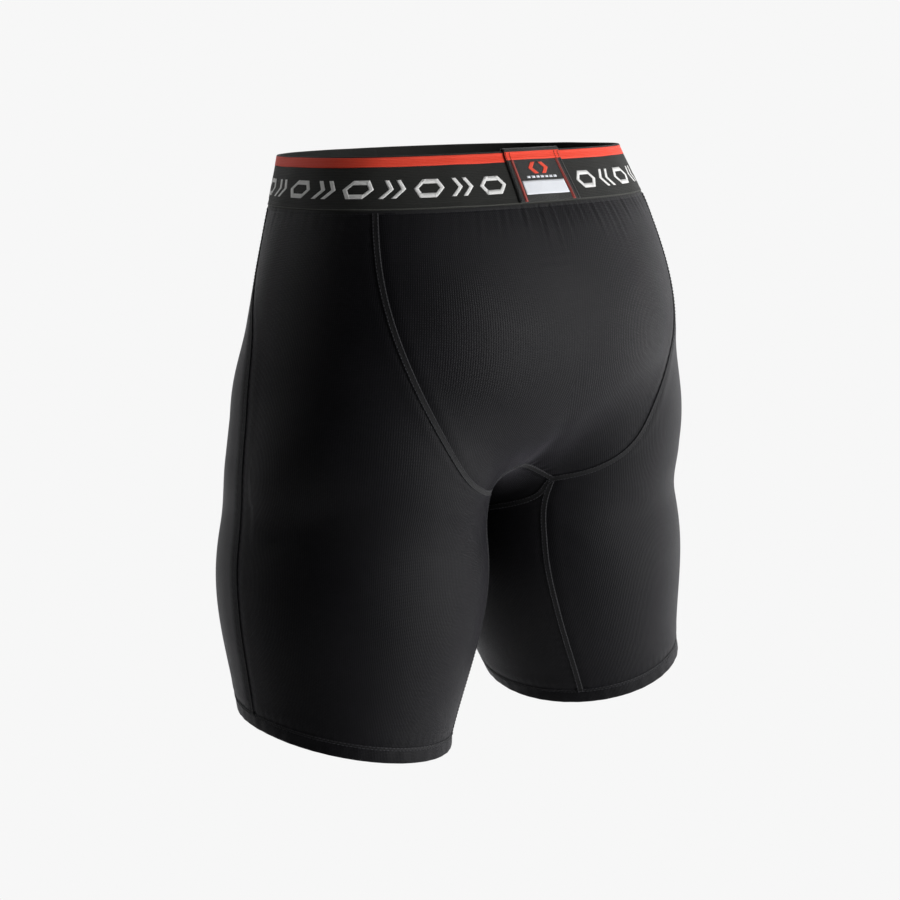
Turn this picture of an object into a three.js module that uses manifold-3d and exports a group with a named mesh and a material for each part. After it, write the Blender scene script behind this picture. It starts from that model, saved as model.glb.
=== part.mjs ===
// Padded impact shorts: a knit shell of shaped panels joined by flatlock seams, a woven
// elastic waistband, turned hems, and thin foam pads in mesh pockets sewn inside.
// Millimetres. +Z is up, +X is the wearer's left, -Y is the wearer's front.
// The origin is the middle of the waist opening, in the plane of the band's top edge.
import * as THREE from 'three';
import Module from 'manifold-3d';

const wasm = await Module();
wasm.setup();

// ---------------------------------------------------------------- driving dimensions

// Body form, worn. Each row of the torso is one level below the waist.
const TORSO = {
  depth: [0, 50, 190, 270],
  halfWidth: [139, 158, 187, 186],
  front: [110, 98, 105, 100],
  back: [75, 107, 108, 17],
  squareness: 2.3,
  end: 242,
};
const WAIST_TILT = 2;
const LEG = {
  top: new THREE.Vector3(84, -20, -200),
  hem: new THREE.Vector3(122, 11, -420),
  radius: [86, 102, 80],
  flatness: 0.97,
  hemLean: new THREE.Vector3(0.036, -0.164, 0),
};
const BUTTOCK = {
  centre: new THREE.Vector3(97, 33, -212),
  radii: new THREE.Vector3(79, 71, 63),
};
const LEG_BLEND = 32;
const BUTTOCK_BLEND = 32;

// Cloth and trim.
const CLOTH = 1.2;
const CLEARANCE = 0.3;
const HEM_CLEARANCE = 0.5;
const BAND_HEIGHT = 34;
const BAND_THICKNESS = 2.0;
const BAND_PROUD = 0.6;
const WAIST_SEAM_WIDTH = 3;
const SEAM_WIDTH = 4.5;
const SEAM_PROUD = 0.4;
const HEM_DEPTH = 9;
const HEM_THICKNESS = 2.2;
const HEM_STITCH_WIDTH = 2;
const LABEL_WIDTH = 54;
const LABEL_THICKNESS = 0.8;
const LABEL_RETURN = 14;

// Pads, each in a mesh pocket.
const PAD_THICKNESS = 5;
const PAD_RIM = 1.6;
const PAD_STANDOFF = 1.8;
const PAD_SLACK = 0.5;
const POCKET_CLOTH = 0.8;
const POCKET_MARGIN = 8;
const HIP_PAD = { angle: 8, share: 0.36, width: 110, length: 150 };
const TAILBONE_PAD = { share: 0.29, width: 90, length: 110 };
const THIGH_PAD = { angle: -62, share: 0.72, width: 84, length: 110 };

// Seam routes: degrees round the leg (0 is outward, + is towards the back) against the
// share of the way from the waist edge (0) to the hem edge (1).
const FRONT_SEAM = [
  [-40, 0], [-20, 0.17], [-3, 0.27], [3, 0.4], [3, 0.54], [-2, 0.65], [-2, 0.8], [-5, 1],
];
const SEAT_SEAM = [
  [46, 0], [54, 0.165], [64.5, 0.294], [77.5, 0.407], [90, 0.485], [104, 0.519], [122.5, 0.533],
];
const INSEAM = [[122.5, 0.533], [127, 0.575], [130.5, 0.65], [132.5, 0.78], [133, 1]];
// The pouch's half width in millimetres against the share.
const POUCH_HALF_WIDTH = [[44, 0], [48, 0.16], [34, 0.34], [13, 0.51]];
const LINING_INSET = 3;
const GUSSET_BACK = 0.494;
const GUSSET_FRONT = 0.51;
const GUSSET_SIDE = [[-222, 0.575], [-190, 0.6], [-155, 0.58], [-143, 0.54]];

// ---------------------------------------------------------------- the body form

/** Smooth curve through (xs, ys), straight at its ends. */
function smoothCurve(xs, ys, x) {
  const last = xs.length - 1;
  const clamped = Math.min(Math.max(x, xs[0]), xs[last]);
  let i = 0;
  while (i < last - 1 && clamped >= xs[i + 1]) i += 1;
  const slope = (k) => {
    if (k === 0) return (ys[1] - ys[0]) / (xs[1] - xs[0]);
    if (k === last) return (ys[last] - ys[last - 1]) / (xs[last] - xs[last - 1]);
    const before = xs[k] - xs[k - 1];
    const after = xs[k + 1] - xs[k];
    const rise = (ys[k] - ys[k - 1]) / before * after + (ys[k + 1] - ys[k]) / after * before;
    return rise / (before + after);
  };
  const h = xs[i + 1] - xs[i];
  const t = (clamped - xs[i]) / h;
  const t2 = t * t;
  const t3 = t2 * t;
  return (2 * t3 - 3 * t2 + 1) * ys[i] + (t3 - 2 * t2 + t) * h * slope(i)
    + (3 * t2 - 2 * t3) * ys[i + 1] + (t3 - t2) * h * slope(i + 1);
}

function smoothStep(x, from, to) {
  const t = THREE.MathUtils.clamp((x - from) / (to - from), 0, 1);
  return t * t * (3 - 2 * t);
}

function smoothMin(a, b, blend) {
  const h = THREE.MathUtils.clamp(0.5 + 0.5 * (b - a) / blend, 0, 1);
  return b + (a - b) * h - blend * h * (1 - h);
}

const legAxis = LEG.hem.clone().sub(LEG.top).normalize();
const legLength = LEG.hem.distanceTo(LEG.top);

/** Below zero inside the body, zero on its skin. The body is the same on both sides. */
function bodyField(p) {
  const x = Math.abs(p.x);
  const depth = -p.z;
  const w = smoothCurve(TORSO.depth, TORSO.halfWidth, depth);
  const d = smoothCurve(TORSO.depth, p.y < 0 ? TORSO.front : TORSO.back, depth);
  const q = TORSO.squareness;
  const rho = ((x / w) ** q + (Math.abs(p.y) / d) ** q + 1e-9) ** (1 / q);
  const torso = -smoothMin(-(rho - 1) * Math.sqrt(w * d), TORSO.end - depth, 30);

  const rel = new THREE.Vector3(x, p.y, p.z).sub(LEG.top);
  const along = rel.dot(legAxis);
  rel.addScaledVector(legAxis, -along);
  const radius = smoothCurve([0, legLength / 2, legLength], LEG.radius, along);
  const round = Math.hypot(rel.x / LEG.flatness, rel.y * LEG.flatness, rel.z);
  const leg = -smoothMin(radius - round, along + 40, 40);

  const r = BUTTOCK.radii;
  const c = BUTTOCK.centre;
  const ball = Math.hypot((x - c.x) / r.x, (p.y - c.y) / r.y, (p.z - c.z) / r.z);
  const buttock = (ball - 1) * Math.cbrt(r.x * r.y * r.z);
  return smoothMin(smoothMin(torso, leg, LEG_BLEND), buttock, BUTTOCK_BLEND);
}

/** Outward direction of the skin at p. */
function outward(p) {
  const step = 0.5;
  const n = new THREE.Vector3();
  for (const axis of ['x', 'y', 'z']) {
    const a = p.clone();
    const b = p.clone();
    a[axis] += step;
    b[axis] -= step;
    n[axis] = bodyField(a) - bodyField(b);
  }
  if (Math.abs(p.x) < 1e-6) n.x = 0;
  return n.normalize();
}

/** Moves a point that is near the skin onto it. */
function settle(p) {
  const q = p.clone();
  for (let k = 0; k < 6; k += 1) {
    const n = outward(q);
    const ahead = bodyField(q.clone().addScaledVector(n, 0.5));
    const behind = bodyField(q.clone().addScaledVector(n, -0.5));
    q.addScaledVector(n, -bodyField(q) / (ahead - behind));
  }
  if (Math.abs(p.x) < 1e-6) q.x = 0;
  return q;
}

// ---------------------------------------------------------------- places on the skin

const tiltRadians = THREE.MathUtils.degToRad(WAIST_TILT);
const CENTRE_STOPS = [0, 0.45, 1];
const CENTRES = [
  new THREE.Vector3(70, 0, 0),
  new THREE.Vector3(LEG.top.x - 2, LEG.top.y, LEG.top.z),
  LEG.hem,
];
const stations = new Map();

/** The cutting plane at share v of the way down: its centre and its outward and back axes. */
function station(v) {
  if (stations.has(v)) return stations.get(v);
  const centre = new THREE.Vector3();
  for (const axis of ['x', 'y', 'z']) {
    centre[axis] = smoothCurve(CENTRE_STOPS, CENTRES.map((c) => c[axis]), v);
  }
  const turn = smoothStep(v, 0.25, 0.75);
  const lean = tiltRadians * THREE.MathUtils.clamp(1 - v / 0.4, 0, 1);
  const down = new THREE.Vector3(0, Math.sin(lean), -Math.cos(lean)).multiplyScalar(1 - turn);
  down.addScaledVector(legAxis.clone().add(LEG.hemLean), turn).normalize();
  const out = new THREE.Vector3(1, 0, 0).addScaledVector(down, -down.x).normalize();
  const back = new THREE.Vector3().crossVectors(out, down).normalize();
  const place = { centre, out, back };
  stations.set(v, place);
  return place;
}

const pathLength = CENTRES[0].distanceTo(CENTRES[1]) + CENTRES[1].distanceTo(CENTRES[2]);
const share = (mm) => mm / pathLength;

/** The skin at an angle (degrees) in the plane of share v. Rays stop at the middle plane. */
function skin(angle, v) {
  const { centre, out, back } = station(v);
  const radians = THREE.MathUtils.degToRad(angle);
  const ray = out.clone().multiplyScalar(Math.cos(radians)).addScaledVector(back, Math.sin(radians));
  const reach = ray.x < -1e-9 ? Math.min(centre.x / -ray.x, 260) : 260;
  const at = (r) => centre.clone().addScaledVector(ray, r);
  const steps = 14;
  let k = 1;
  while (k <= steps && bodyField(at(reach * k / steps)) <= 0) k += 1;
  if (k > steps) return at(reach).setX(0);
  let low = reach * (k - 1) / steps;
  let high = reach * k / steps;
  for (let i = 0; i < 16; i += 1) {
    const middle = (low + high) / 2;
    if (bodyField(at(middle)) > 0) high = middle;
    else low = middle;
  }
  return at(low);
}

/** Where the middle plane x = 0 cuts the plane of share v, at distance b back of its centre. */
function middlePoint(v, b) {
  const { centre, out, back } = station(v);
  const a = -(centre.x + b * back.x) / out.x;
  return { a, point: centre.clone().addScaledVector(out, a).addScaledVector(back, b) };
}

const rises = new Map();

/** Angles at which the plane of share v meets the middle of the front and of the back. */
function rise(v) {
  if (rises.has(v)) return rises.get(v);
  const inside = [];
  for (let b = -150; b <= 150; b += 1) {
    if (bodyField(middlePoint(v, b).point) < 0) inside.push(b);
  }
  let result = null;
  if (inside.length > 0) {
    const edge = (from, step) => {
      let low = from;
      let high = from + step;
      for (let i = 0; i < 14; i += 1) {
        const middle = (low + high) / 2;
        if (bodyField(middlePoint(v, middle).point) < 0) low = middle;
        else high = middle;
      }
      const { a, point } = middlePoint(v, low);
      return { angle: THREE.MathUtils.radToDeg(Math.atan2(low, a)), point: point.setX(0) };
    };
    const front = edge(inside[0], -1);
    const back = edge(inside[inside.length - 1], 1);
    if (front.angle > 0) front.angle -= 360;
    if (back.angle < 0) back.angle += 360;
    result = { front, back };
  }
  rises.set(v, result);
  return result;
}

/** Share at which the two legs part. */
function findCrotch() {
  let low = 0.4;
  let high = 0.7;
  for (let i = 0; i < 16; i += 1) {
    const middle = (low + high) / 2;
    if (rise(middle)) low = middle;
    else high = middle;
  }
  return low;
}
const CROTCH = findCrotch();

/** A route through [angle, share] stops, sampled evenly in share from one share to another. */
function route(stops) {
  const shares = stops.map((stop) => stop[1]);
  const angles = stops.map((stop) => stop[0]);
  return (v) => smoothCurve(shares, angles, v);
}

/** A route that may run level: a spline through its stops, by t from 0 to 1. */
function spline(stops) {
  const perDegree = 1.8;
  const flat = stops.map(([angle, v]) => new THREE.Vector2(angle * perDegree, v * pathLength));
  const curve = new THREE.SplineCurve(flat);
  return (t) => {
    const p = curve.getPointAt(t);
    return [p.x / perDegree, p.y / pathLength];
  };
}

// ---------------------------------------------------------------- sheets and solids

/** Collects triangles over shared points. */
class Sheet {
  constructor() {
    this.points = [];
    this.triangles = [];
    this.index = new Map();
  }

  point(p) {
    const key = [p.x, p.y, p.z].map((c) => Math.round(c * 200)).join(' ');
    if (!this.index.has(key)) {
      this.index.set(key, this.points.length);
      this.points.push(p.clone());
    }
    return this.index.get(key);
  }

  triangle(a, b, c) {
    if (a !== b && b !== c && c !== a) this.triangles.push([a, b, c]);
  }

  /** Adds a grid of points, rows[i][j], turned to face out of the body. */
  grid(rows) {
    const ids = rows.map((row) => row.map((p) => this.point(p)));
    const middle = [rows.length >> 1, rows[0].length >> 1];
    const [i0, j0] = middle.map((k) => Math.max(k, 1));
    const down = rows[i0][j0].clone().sub(rows[i0 - 1][j0]);
    const across = rows[i0][j0].clone().sub(rows[i0][j0 - 1]);
    const facesOut = down.cross(across).dot(outward(rows[i0][j0])) > 0;
    for (let i = 0; i + 1 < ids.length; i += 1) {
      for (let j = 0; j + 1 < ids[i].length; j += 1) {
        const [a, b, c, d] = [ids[i][j], ids[i + 1][j], ids[i + 1][j + 1], ids[i][j + 1]];
        const corners = facesOut ? [a, b, c, d] : [a, d, c, b];
        this.triangle(corners[0], corners[1], corners[2]);
        this.triangle(corners[0], corners[2], corners[3]);
      }
    }
    return this;
  }

  /** The same sheet with its mirror image across the middle plane joined on. */
  withMirror() {
    const both = new Sheet();
    for (const side of [1, -1]) {
      const ids = this.points.map((p) => both.point(new THREE.Vector3(p.x * side, p.y, p.z)));
      for (const corners of this.triangles) {
        const [a, b, c] = (side > 0 ? corners : [...corners].reverse()).map((i) => ids[i]);
        both.triangle(a, b, c);
      }
    }
    return both;
  }
}

/** A closed mesh between two faces of a sheet, given how far out each face lies. */
function thicken(sheet, outer, inner) {
  const normals = sheet.points.map(outward);
  const count = sheet.points.length;
  const positions = [];
  for (const offset of [outer, inner]) {
    sheet.points.forEach((p, i) => {
      const far = typeof offset === 'function' ? offset(p, i) : offset;
      positions.push(...p.clone().addScaledVector(normals[i], far).toArray());
    });
  }
  const faces = [];
  const open = new Map();
  for (const [i, j, k] of sheet.triangles) {
    faces.push(i, j, k, i + count, k + count, j + count);
    for (const [from, to] of [[i, j], [j, k], [k, i]]) {
      if (!open.delete(`${to} ${from}`)) open.set(`${from} ${to}`, [from, to]);
    }
  }
  for (const [from, to] of open.values()) {
    faces.push(from, from + count, to + count, from, to + count, to);
  }
  return solidOf(positions, faces);
}

function solidOf(positions, faces) {
  return new wasm.Manifold(new wasm.Mesh({
    numProp: 3,
    vertProperties: new Float32Array(positions),
    triVerts: new Uint32Array(faces),
  }));
}

function geometryOf(solid) {
  const mesh = solid.getMesh();
  const geometry = new THREE.BufferGeometry();
  geometry.setAttribute('position', new THREE.BufferAttribute(new Float32Array(mesh.vertProperties), 3));
  geometry.setIndex(new THREE.BufferAttribute(new Uint32Array(mesh.triVerts), 1));
  geometry.computeVertexNormals();
  return geometry;
}

/** Rows of skin points: from angle a0(v) to a1(v), for shares v0 to v1. */
function ruled(v0, v1, a0, a1, rowCount, columnCount) {
  const rows = [];
  for (let i = 0; i <= rowCount; i += 1) {
    const v = v0 + (v1 - v0) * i / rowCount;
    const row = [];
    for (let j = 0; j <= columnCount; j += 1) {
      row.push(skin(THREE.MathUtils.lerp(a0(v), a1(v), j / columnCount), v));
    }
    rows.push(row);
  }
  return rows;
}

/** A four-sided patch between boundary routes, each giving [angle, share] from 0 to 1. */
function patch({ left, right, top, bottom }, rowCount, columnCount) {
  const rows = [];
  for (let i = 0; i <= rowCount; i += 1) {
    const t = i / rowCount;
    const row = [];
    for (let j = 0; j <= columnCount; j += 1) {
      const s = j / columnCount;
      const mix = (k) => (1 - s) * left(t)[k] + s * right(t)[k] + (1 - t) * top(s)[k] + t * bottom(s)[k]
        - (1 - s) * ((1 - t) * left(0)[k] + t * left(1)[k]) - s * ((1 - t) * right(0)[k] + t * right(1)[k]);
      row.push(skin(mix(0), mix(1)));
    }
    rows.push(row);
  }
  return rows;
}

const line = (from, to) => (t) => [0, 1].map((k) => THREE.MathUtils.lerp(from[k], to[k], t));

/** A strip of the skin along a row of points, width wide. A point on x = 0 gets a mitred end. */
function stripRows(path, width) {
  return path.map((p, i) => {
    const before = path[Math.max(i - 1, 0)];
    const after = path[Math.min(i + 1, path.length - 1)];
    const along = after.clone().sub(before).normalize();
    const normal = outward(p);
    const across = new THREE.Vector3().crossVectors(normal, along).normalize();
    let reach = width / 2;
    if (Math.abs(p.x) < 1e-6) {
      const level = new THREE.Vector3().crossVectors(normal, new THREE.Vector3(1, 0, 0)).normalize();
      const slant = level.dot(across);
      reach /= Math.max(Math.abs(slant), 0.5);
      across.copy(level).multiplyScalar(Math.sign(slant));
    }
    return [-1, 0, 1].map((side) => settle(p.clone().addScaledVector(across, side * reach)));
  });
}

// ---------------------------------------------------------------- layout of the panels

const BAND_END = share(BAND_HEIGHT);
const TOP = BAND_END + share(WAIST_SEAM_WIDTH + 2 * CLEARANCE);
const HEM_START = 1 - share(HEM_DEPTH);
const BOTTOM = HEM_START - share(HEM_STITCH_WIDTH + 2 * HEM_CLEARANCE);
const RUN_ON = share(5);

const frontSeam = route(FRONT_SEAM);
const seatSeam = spline(SEAT_SEAM);
const inseam = route(INSEAM);
const pouchHalfWidth = route(POUCH_HALF_WIDTH);
const pouchSeam = (v) => angleAcross(v, pouchHalfWidth(v));
const innerCorner = SEAT_SEAM[SEAT_SEAM.length - 1];
const wrapped = (angle) => angle - 360;
const [gussetHeel, gussetLow, gussetInner, gussetToe] = GUSSET_SIDE;
const frontCorner = [pouchSeam(GUSSET_FRONT), GUSSET_FRONT];
const gussetAhead = route([frontCorner, gussetToe, gussetInner, gussetLow]);
const gussetBehind = route([[wrapped(innerCorner[0]), innerCorner[1]], gussetHeel, gussetLow]);

/** The angle at which the front of the skin is x to the side of the middle plane. */
function angleAcross(v, x) {
  let low = rise(v).front.angle;
  let high = -60;
  for (let i = 0; i < 20; i += 1) {
    const middle = (low + high) / 2;
    if (skin(middle, v).x < x) low = middle;
    else high = middle;
  }
  return low;
}

/** The t at which a falling spline passes share v. */
function tAt(curve, v) {
  let low = 0;
  let high = 1;
  for (let i = 0; i < 24; i += 1) {
    const middle = (low + high) / 2;
    if (curve(middle)[1] < v) low = middle;
    else high = middle;
  }
  return low;
}

const between = (from, to) => (t) => THREE.MathUtils.lerp(from, to, t);
const onRoute = (angleAt, from, to) => (t) => {
  const v = between(from, to)(t);
  return [angleAt(v), v];
};
const onSpline = (curve, from) => (t) => curve(between(tAt(curve, from), 1)(t));
const backRise = (v) => rise(v).back.angle;

/** One boundary made of two, the first taking the given part of the way. */
const joined = (first, second, part) => (t) => (
  t < part ? first(t / part) : second((t - part) / (1 - part))
);

function seatSheet() {
  const apex = [backRise(GUSSET_BACK), GUSSET_BACK];
  const side = onSpline(seatSeam, TOP);
  return new Sheet().grid(patch({
    left: side,
    right: onRoute(backRise, TOP, GUSSET_BACK),
    top: line(side(0), [backRise(TOP), TOP]),
    bottom: line(innerCorner, apex),
  }, 14, 9)).withMirror();
}

function outerLegSheet() {
  const ahead = onRoute(frontSeam, TOP, BOTTOM);
  const behind = joined(onSpline(seatSeam, TOP), onRoute(inseam, innerCorner[1], BOTTOM), 0.6);
  return new Sheet().grid(patch({
    left: ahead,
    right: behind,
    top: line(ahead(0), behind(0)),
    bottom: line(ahead(1), behind(1)),
  }, 18, 12));
}

const HEEL_ROWS = 5;
const TOE_ROWS = 7;

function frontLegSheet() {
  const columns = 15;
  const innerColumns = 5;
  const innerLine = () => gussetLow[0];
  const backEdge = (v) => wrapped(inseam(v));
  return new Sheet()
    .grid(ruled(TOP, GUSSET_FRONT, pouchSeam, frontSeam, 9, columns))
    .grid(ruled(GUSSET_FRONT, gussetLow[1], gussetAhead, frontSeam, TOE_ROWS, columns))
    .grid(ruled(innerCorner[1], gussetLow[1], backEdge, gussetBehind, HEEL_ROWS, innerColumns))
    .grid(ruled(gussetLow[1], BOTTOM, innerLine, frontSeam, 6, columns))
    .grid(ruled(gussetLow[1], BOTTOM, backEdge, innerLine, 6, innerColumns));
}

function pouchSheet(top, inset) {
  const middle = (v) => rise(v).front.angle;
  const edge = (v) => angleAcross(v, pouchHalfWidth(v) - inset);
  return new Sheet().grid(ruled(top, GUSSET_FRONT - share(inset), middle, edge, 9, 5)).withMirror();
}

/** Points spaced evenly along a row of points. */
function evenly(points, count) {
  const curve = new THREE.CatmullRomCurve3(points, false, 'centripetal');
  return curve.getSpacedPoints(count);
}

const steps = (from, to, count) => (
  Array.from({ length: count + 1 }, (_, i) => from + (to - from) * i / count)
);
const gussetSidePath = [
  ...steps(innerCorner[1], gussetLow[1], HEEL_ROWS).map((v) => skin(gussetBehind(v), v)),
  ...steps(gussetLow[1], GUSSET_FRONT, TOE_ROWS).slice(1).map((v) => skin(gussetAhead(v), v)),
];
const gussetBackPath = [
  ...steps(0, 1, 3).slice(0, 3).map((t) => {
    const apex = [backRise(GUSSET_BACK), GUSSET_BACK];
    return skin(...line(innerCorner, apex)(t));
  }),
  rise(GUSSET_BACK).back.point,
];

function gussetSheet() {
  const spine = evenly([
    ...steps(GUSSET_BACK, CROTCH, 6).map((v) => rise(v).back.point),
    ...steps(CROTCH, GUSSET_FRONT, 6).slice(1).map((v) => rise(v).front.point),
  ], 12);
  const edge = evenly([...gussetBackPath.slice(1).reverse(), ...gussetSidePath], 12);
  const rows = spine.map((p, i) => [0, 1 / 3, 2 / 3, 1].map((t) => settle(p.clone().lerp(edge[i], t))));
  return new Sheet().grid(rows).withMirror();
}

const WAIST_COLUMNS = 22;
const LEG_COLUMNS = 36;

/** A ring round the waist, or round one leg, between two shares. */
function waistRing(v0, v1, rowCount) {
  const ahead = (v) => rise(v).front.angle;
  return new Sheet().grid(ruled(v0, v1, ahead, backRise, rowCount, WAIST_COLUMNS)).withMirror();
}

function legRing(v0, v1, rowCount) {
  return new Sheet().grid(ruled(v0, v1, () => -180, () => 180, rowCount, LEG_COLUMNS));
}

// ---------------------------------------------------------------- seams

const seamPaths = {
  seat: [
    ...steps(tAt(seatSeam, TOP - RUN_ON), 1, 26).slice(0, 26).map((t) => skin(...seatSeam(t))),
    ...gussetBackPath,
  ],
  front: steps(TOP - RUN_ON, BOTTOM + RUN_ON, 22).map((v) => skin(frontSeam(v), v)),
  inseam: steps(innerCorner[1], BOTTOM + RUN_ON, 12).map((v) => skin(inseam(v), v)),
  pouch: steps(TOP - RUN_ON, GUSSET_FRONT, 11).map((v) => skin(pouchSeam(v), v)),
  gusset: gussetSidePath,
  gussetFront: steps(0, 1, 3).map((t) => {
    const middle = rise(GUSSET_FRONT).front;
    if (t === 1) return middle.point;
    return skin(THREE.MathUtils.lerp(frontCorner[0], middle.angle, t), GUSSET_FRONT);
  }),
};

const throughMiddle = new Set(['seat', 'gussetFront']);

/** A path run on a little past each end that is not on the middle plane. */
function runOn(path, length) {
  const ends = [[path[1], path[0]], [path[path.length - 2], path[path.length - 1]]];
  const [first, last] = ends.map(([from, to]) => (
    Math.abs(to.x) < 1e-6 ? [] : [to.clone().addScaledVector(to.clone().sub(from).normalize(), length)]
  ));
  return [...first, ...path, ...last];
}

function seamSheet(name, width, past = 0) {
  const path = past > 0 ? runOn(seamPaths[name], past) : seamPaths[name];
  const sheet = new Sheet().grid(stripRows(path, width));
  return throughMiddle.has(name) ? sheet.withMirror() : sheet;
}

const seamSolid = (name) => thicken(seamSheet(name, SEAM_WIDTH), SEAM_PROUD, -CLOTH - SEAM_PROUD);

/** The room that a seam takes out of its neighbours, and how far it reaches past their faces. */
const ROOM_REACH = 1.6;
const TRIM_REACH = 4;
const seamRoom = (name) => thicken(
  seamSheet(name, SEAM_WIDTH + 2 * CLEARANCE, 2 * CLEARANCE), ROOM_REACH, -CLOTH - ROOM_REACH,
);
const trimRoom = (ring) => thicken(ring, TRIM_REACH, -CLOTH - TRIM_REACH);

const mirrored = (solid) => solid.mirror([1, 0, 0]);
const rooms = {};
for (const name of Object.keys(seamPaths)) rooms[name] = seamRoom(name);
const waistRoom = trimRoom(waistRing(TOP - 2 * RUN_ON, TOP, 1));
const hemRoom = trimRoom(legRing(BOTTOM, BOTTOM + 2 * RUN_ON, 1));

/** The largest body of a solid, without the slivers that cuts can leave beside it. */
function largest(solid) {
  return solid.decompose().reduce((most, body) => (body.volume() > most.volume() ? body : most));
}

/** Takes the named seams' rooms, on both sides, out of a solid. */
function clearOf(solid, names) {
  let result = solid;
  for (const name of names) result = result.subtract(rooms[name]).subtract(mirrored(rooms[name]));
  return largest(result);
}

const allSeams = Object.keys(rooms);
const panel = (sheet) => clearOf(thicken(sheet, 0, -CLOTH), allSeams);
const trimmed = (solid) => solid.subtract(waistRoom).subtract(hemRoom);

const seams = {
  seat: trimmed(seamSolid('seat')).subtract(mirrored(hemRoom)),
  front: trimmed(seamSolid('front')),
  pouch: trimmed(seamSolid('pouch')),
  gusset: clearOf(seamSolid('gusset'), ['seat', 'pouch']),
  inseam: trimmed(clearOf(seamSolid('inseam'), ['seat', 'gusset'])),
  gussetFront: clearOf(seamSolid('gussetFront'), ['pouch', 'gusset']),
};

// ---------------------------------------------------------------- pads and pockets

const RINGS = [0, 0.45, 0.8, 1];
const SECTORS = 24;

/** Length on the skin of one degree of turn, at share v. */
function degreeLength(angle, v) {
  return skin(angle - 1, v).distanceTo(skin(angle + 1, v)) / 2;
}

/** A rounded patch of the skin, and how far from its middle (1 at the pad's rim) each point is. */
function padSheet(pad, margin) {
  const central = pad.angle === undefined;
  const angle = central ? backRise(pad.share) : pad.angle;
  const scale = degreeLength(central ? angle - 20 : angle, pad.share);
  const half = new THREE.Vector2(pad.width / 2, pad.length / 2);
  const rings = margin > 0 ? [...RINGS, 1 + margin / half.x] : RINGS;
  const sheet = new Sheet();
  const spread = [];
  const turns = central ? steps(-90, 90, SECTORS / 2) : steps(0, 360, SECTORS);
  const rows = rings.map((r) => turns.map((turn) => {
    const radians = THREE.MathUtils.degToRad(turn);
    const grow = Math.max(r - 1, 0) * half.x;
    const x = Math.cos(radians) * (Math.min(r, 1) * half.x + grow);
    const y = Math.sin(radians) * (Math.min(r, 1) * half.y + grow);
    const v = pad.share + share(y);
    const onMiddle = central && Math.abs(x) < 1e-6;
    const turned = central ? backRise(v) - x / scale : angle + x / scale;
    const p = onMiddle ? rise(v).back.point : skin(turned, v);
    spread[sheet.point(p)] = r;
    return p;
  }));
  sheet.grid(rows);
  return { sheet, spread, central };
}

const padDepth = (r) => THREE.MathUtils.lerp(PAD_THICKNESS, PAD_RIM, smoothStep(r, 0.7, 1));

function padSolid(pad) {
  const { sheet, spread, central } = padSheet(pad, 0);
  const near = -CLOTH - PAD_STANDOFF;
  const whole = central ? sheet.withMirror() : sheet;
  const at = central ? mirrorSpread(sheet, whole, spread) : spread;
  return thicken(whole, near, (p, i) => near - padDepth(at[i]));
}

function pocketSolid(pad) {
  const { sheet, spread, central } = padSheet(pad, POCKET_MARGIN);
  const near = -CLOTH - PAD_STANDOFF;
  const whole = central ? sheet.withMirror() : sheet;
  const at = central ? mirrorSpread(sheet, whole, spread) : spread;
  const outer = (p, i) => (at[i] > 1 ? near : near - padDepth(at[i]) - PAD_SLACK);
  return thicken(whole, outer, (p, i) => outer(p, i) - POCKET_CLOTH);
}

function mirrorSpread(half, whole, spread) {
  const at = [];
  half.points.forEach((p, i) => {
    at[whole.point(p)] = spread[i];
    at[whole.point(new THREE.Vector3(-p.x, p.y, p.z))] = spread[i];
  });
  return at;
}

// ---------------------------------------------------------------- the folded label

/** The label: a strip folded over the band's top edge, swept along the band in folded sections. */
function labelSolid() {
  const over = BAND_PROUD + CLEARANCE;
  const under = BAND_PROUD - BAND_THICKNESS - CLEARANCE;
  const outerFace = over + LABEL_THICKNESS;
  const innerFace = under - LABEL_THICKNESS;
  const corner = (k, v, far) => {
    const angle = THREE.MathUtils.lerp(backRise(v), rise(v).front.angle, k / WAIST_COLUMNS);
    const p = k === 0 ? rise(v).back.point.clone() : skin(angle, v);
    return p.addScaledVector(outward(p), far);
  };
  const onBand = (column, v, far) => {
    const whole = Math.floor(Math.abs(column));
    const p = corner(whole, v, far).lerp(corner(whole + 1, v, far), Math.abs(column) - whole);
    return column < 0 ? p.setX(-p.x) : p;
  };
  const leafEnd = (column, depth, far) => (
    onBand(column, 0, far).lerp(onBand(column, BAND_END, far), depth / BAND_HEIGHT)
  );
  const fold = (column, far, raise) => onBand(column, 0, far).add(new THREE.Vector3(0, 0, raise));
  const outerLength = BAND_HEIGHT - 1;
  const end = LABEL_WIDTH / 2 / corner(0, 0, 0).distanceTo(corner(1, 0, 0));
  const whole = Math.ceil(end) - 1;
  const columns = [-end, ...steps(-whole, whole, 2 * whole), end];
  const sections = columns.map((x) => [
    leafEnd(x, outerLength, over),
    leafEnd(x, outerLength, outerFace),
    fold(x, outerFace, CLEARANCE + LABEL_THICKNESS),
    fold(x, innerFace, CLEARANCE + LABEL_THICKNESS),
    leafEnd(x, LABEL_RETURN, innerFace),
    leafEnd(x, LABEL_RETURN, under),
    fold(x, under, CLEARANCE),
    fold(x, over, CLEARANCE),
  ]);
  const corners = sections[0].length;
  const last = corners * (sections.length - 1);
  const faces = [];
  for (let i = 0; i < last; i += corners) {
    for (let k = 0; k < corners; k += 1) {
      const a = i + k;
      const b = i + (k + 1) % corners;
      faces.push(a, b, b + corners, a, b + corners, a + corners);
    }
  }
  for (const [a, b, c, d] of [[0, 1, 2, 7], [7, 2, 3, 6], [6, 3, 4, 5]]) {
    faces.push(a, c, b, a, d, c);
    faces.push(last + a, last + b, last + c, last + a, last + c, last + d);
  }
  const positions = sections.flat().flatMap((p) => p.toArray());
  const solid = solidOf(positions, faces);
  return solid.volume() > 0 ? solid : solidOf(positions, faces.toReversed());
}

// ---------------------------------------------------------------- the assembly

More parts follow.
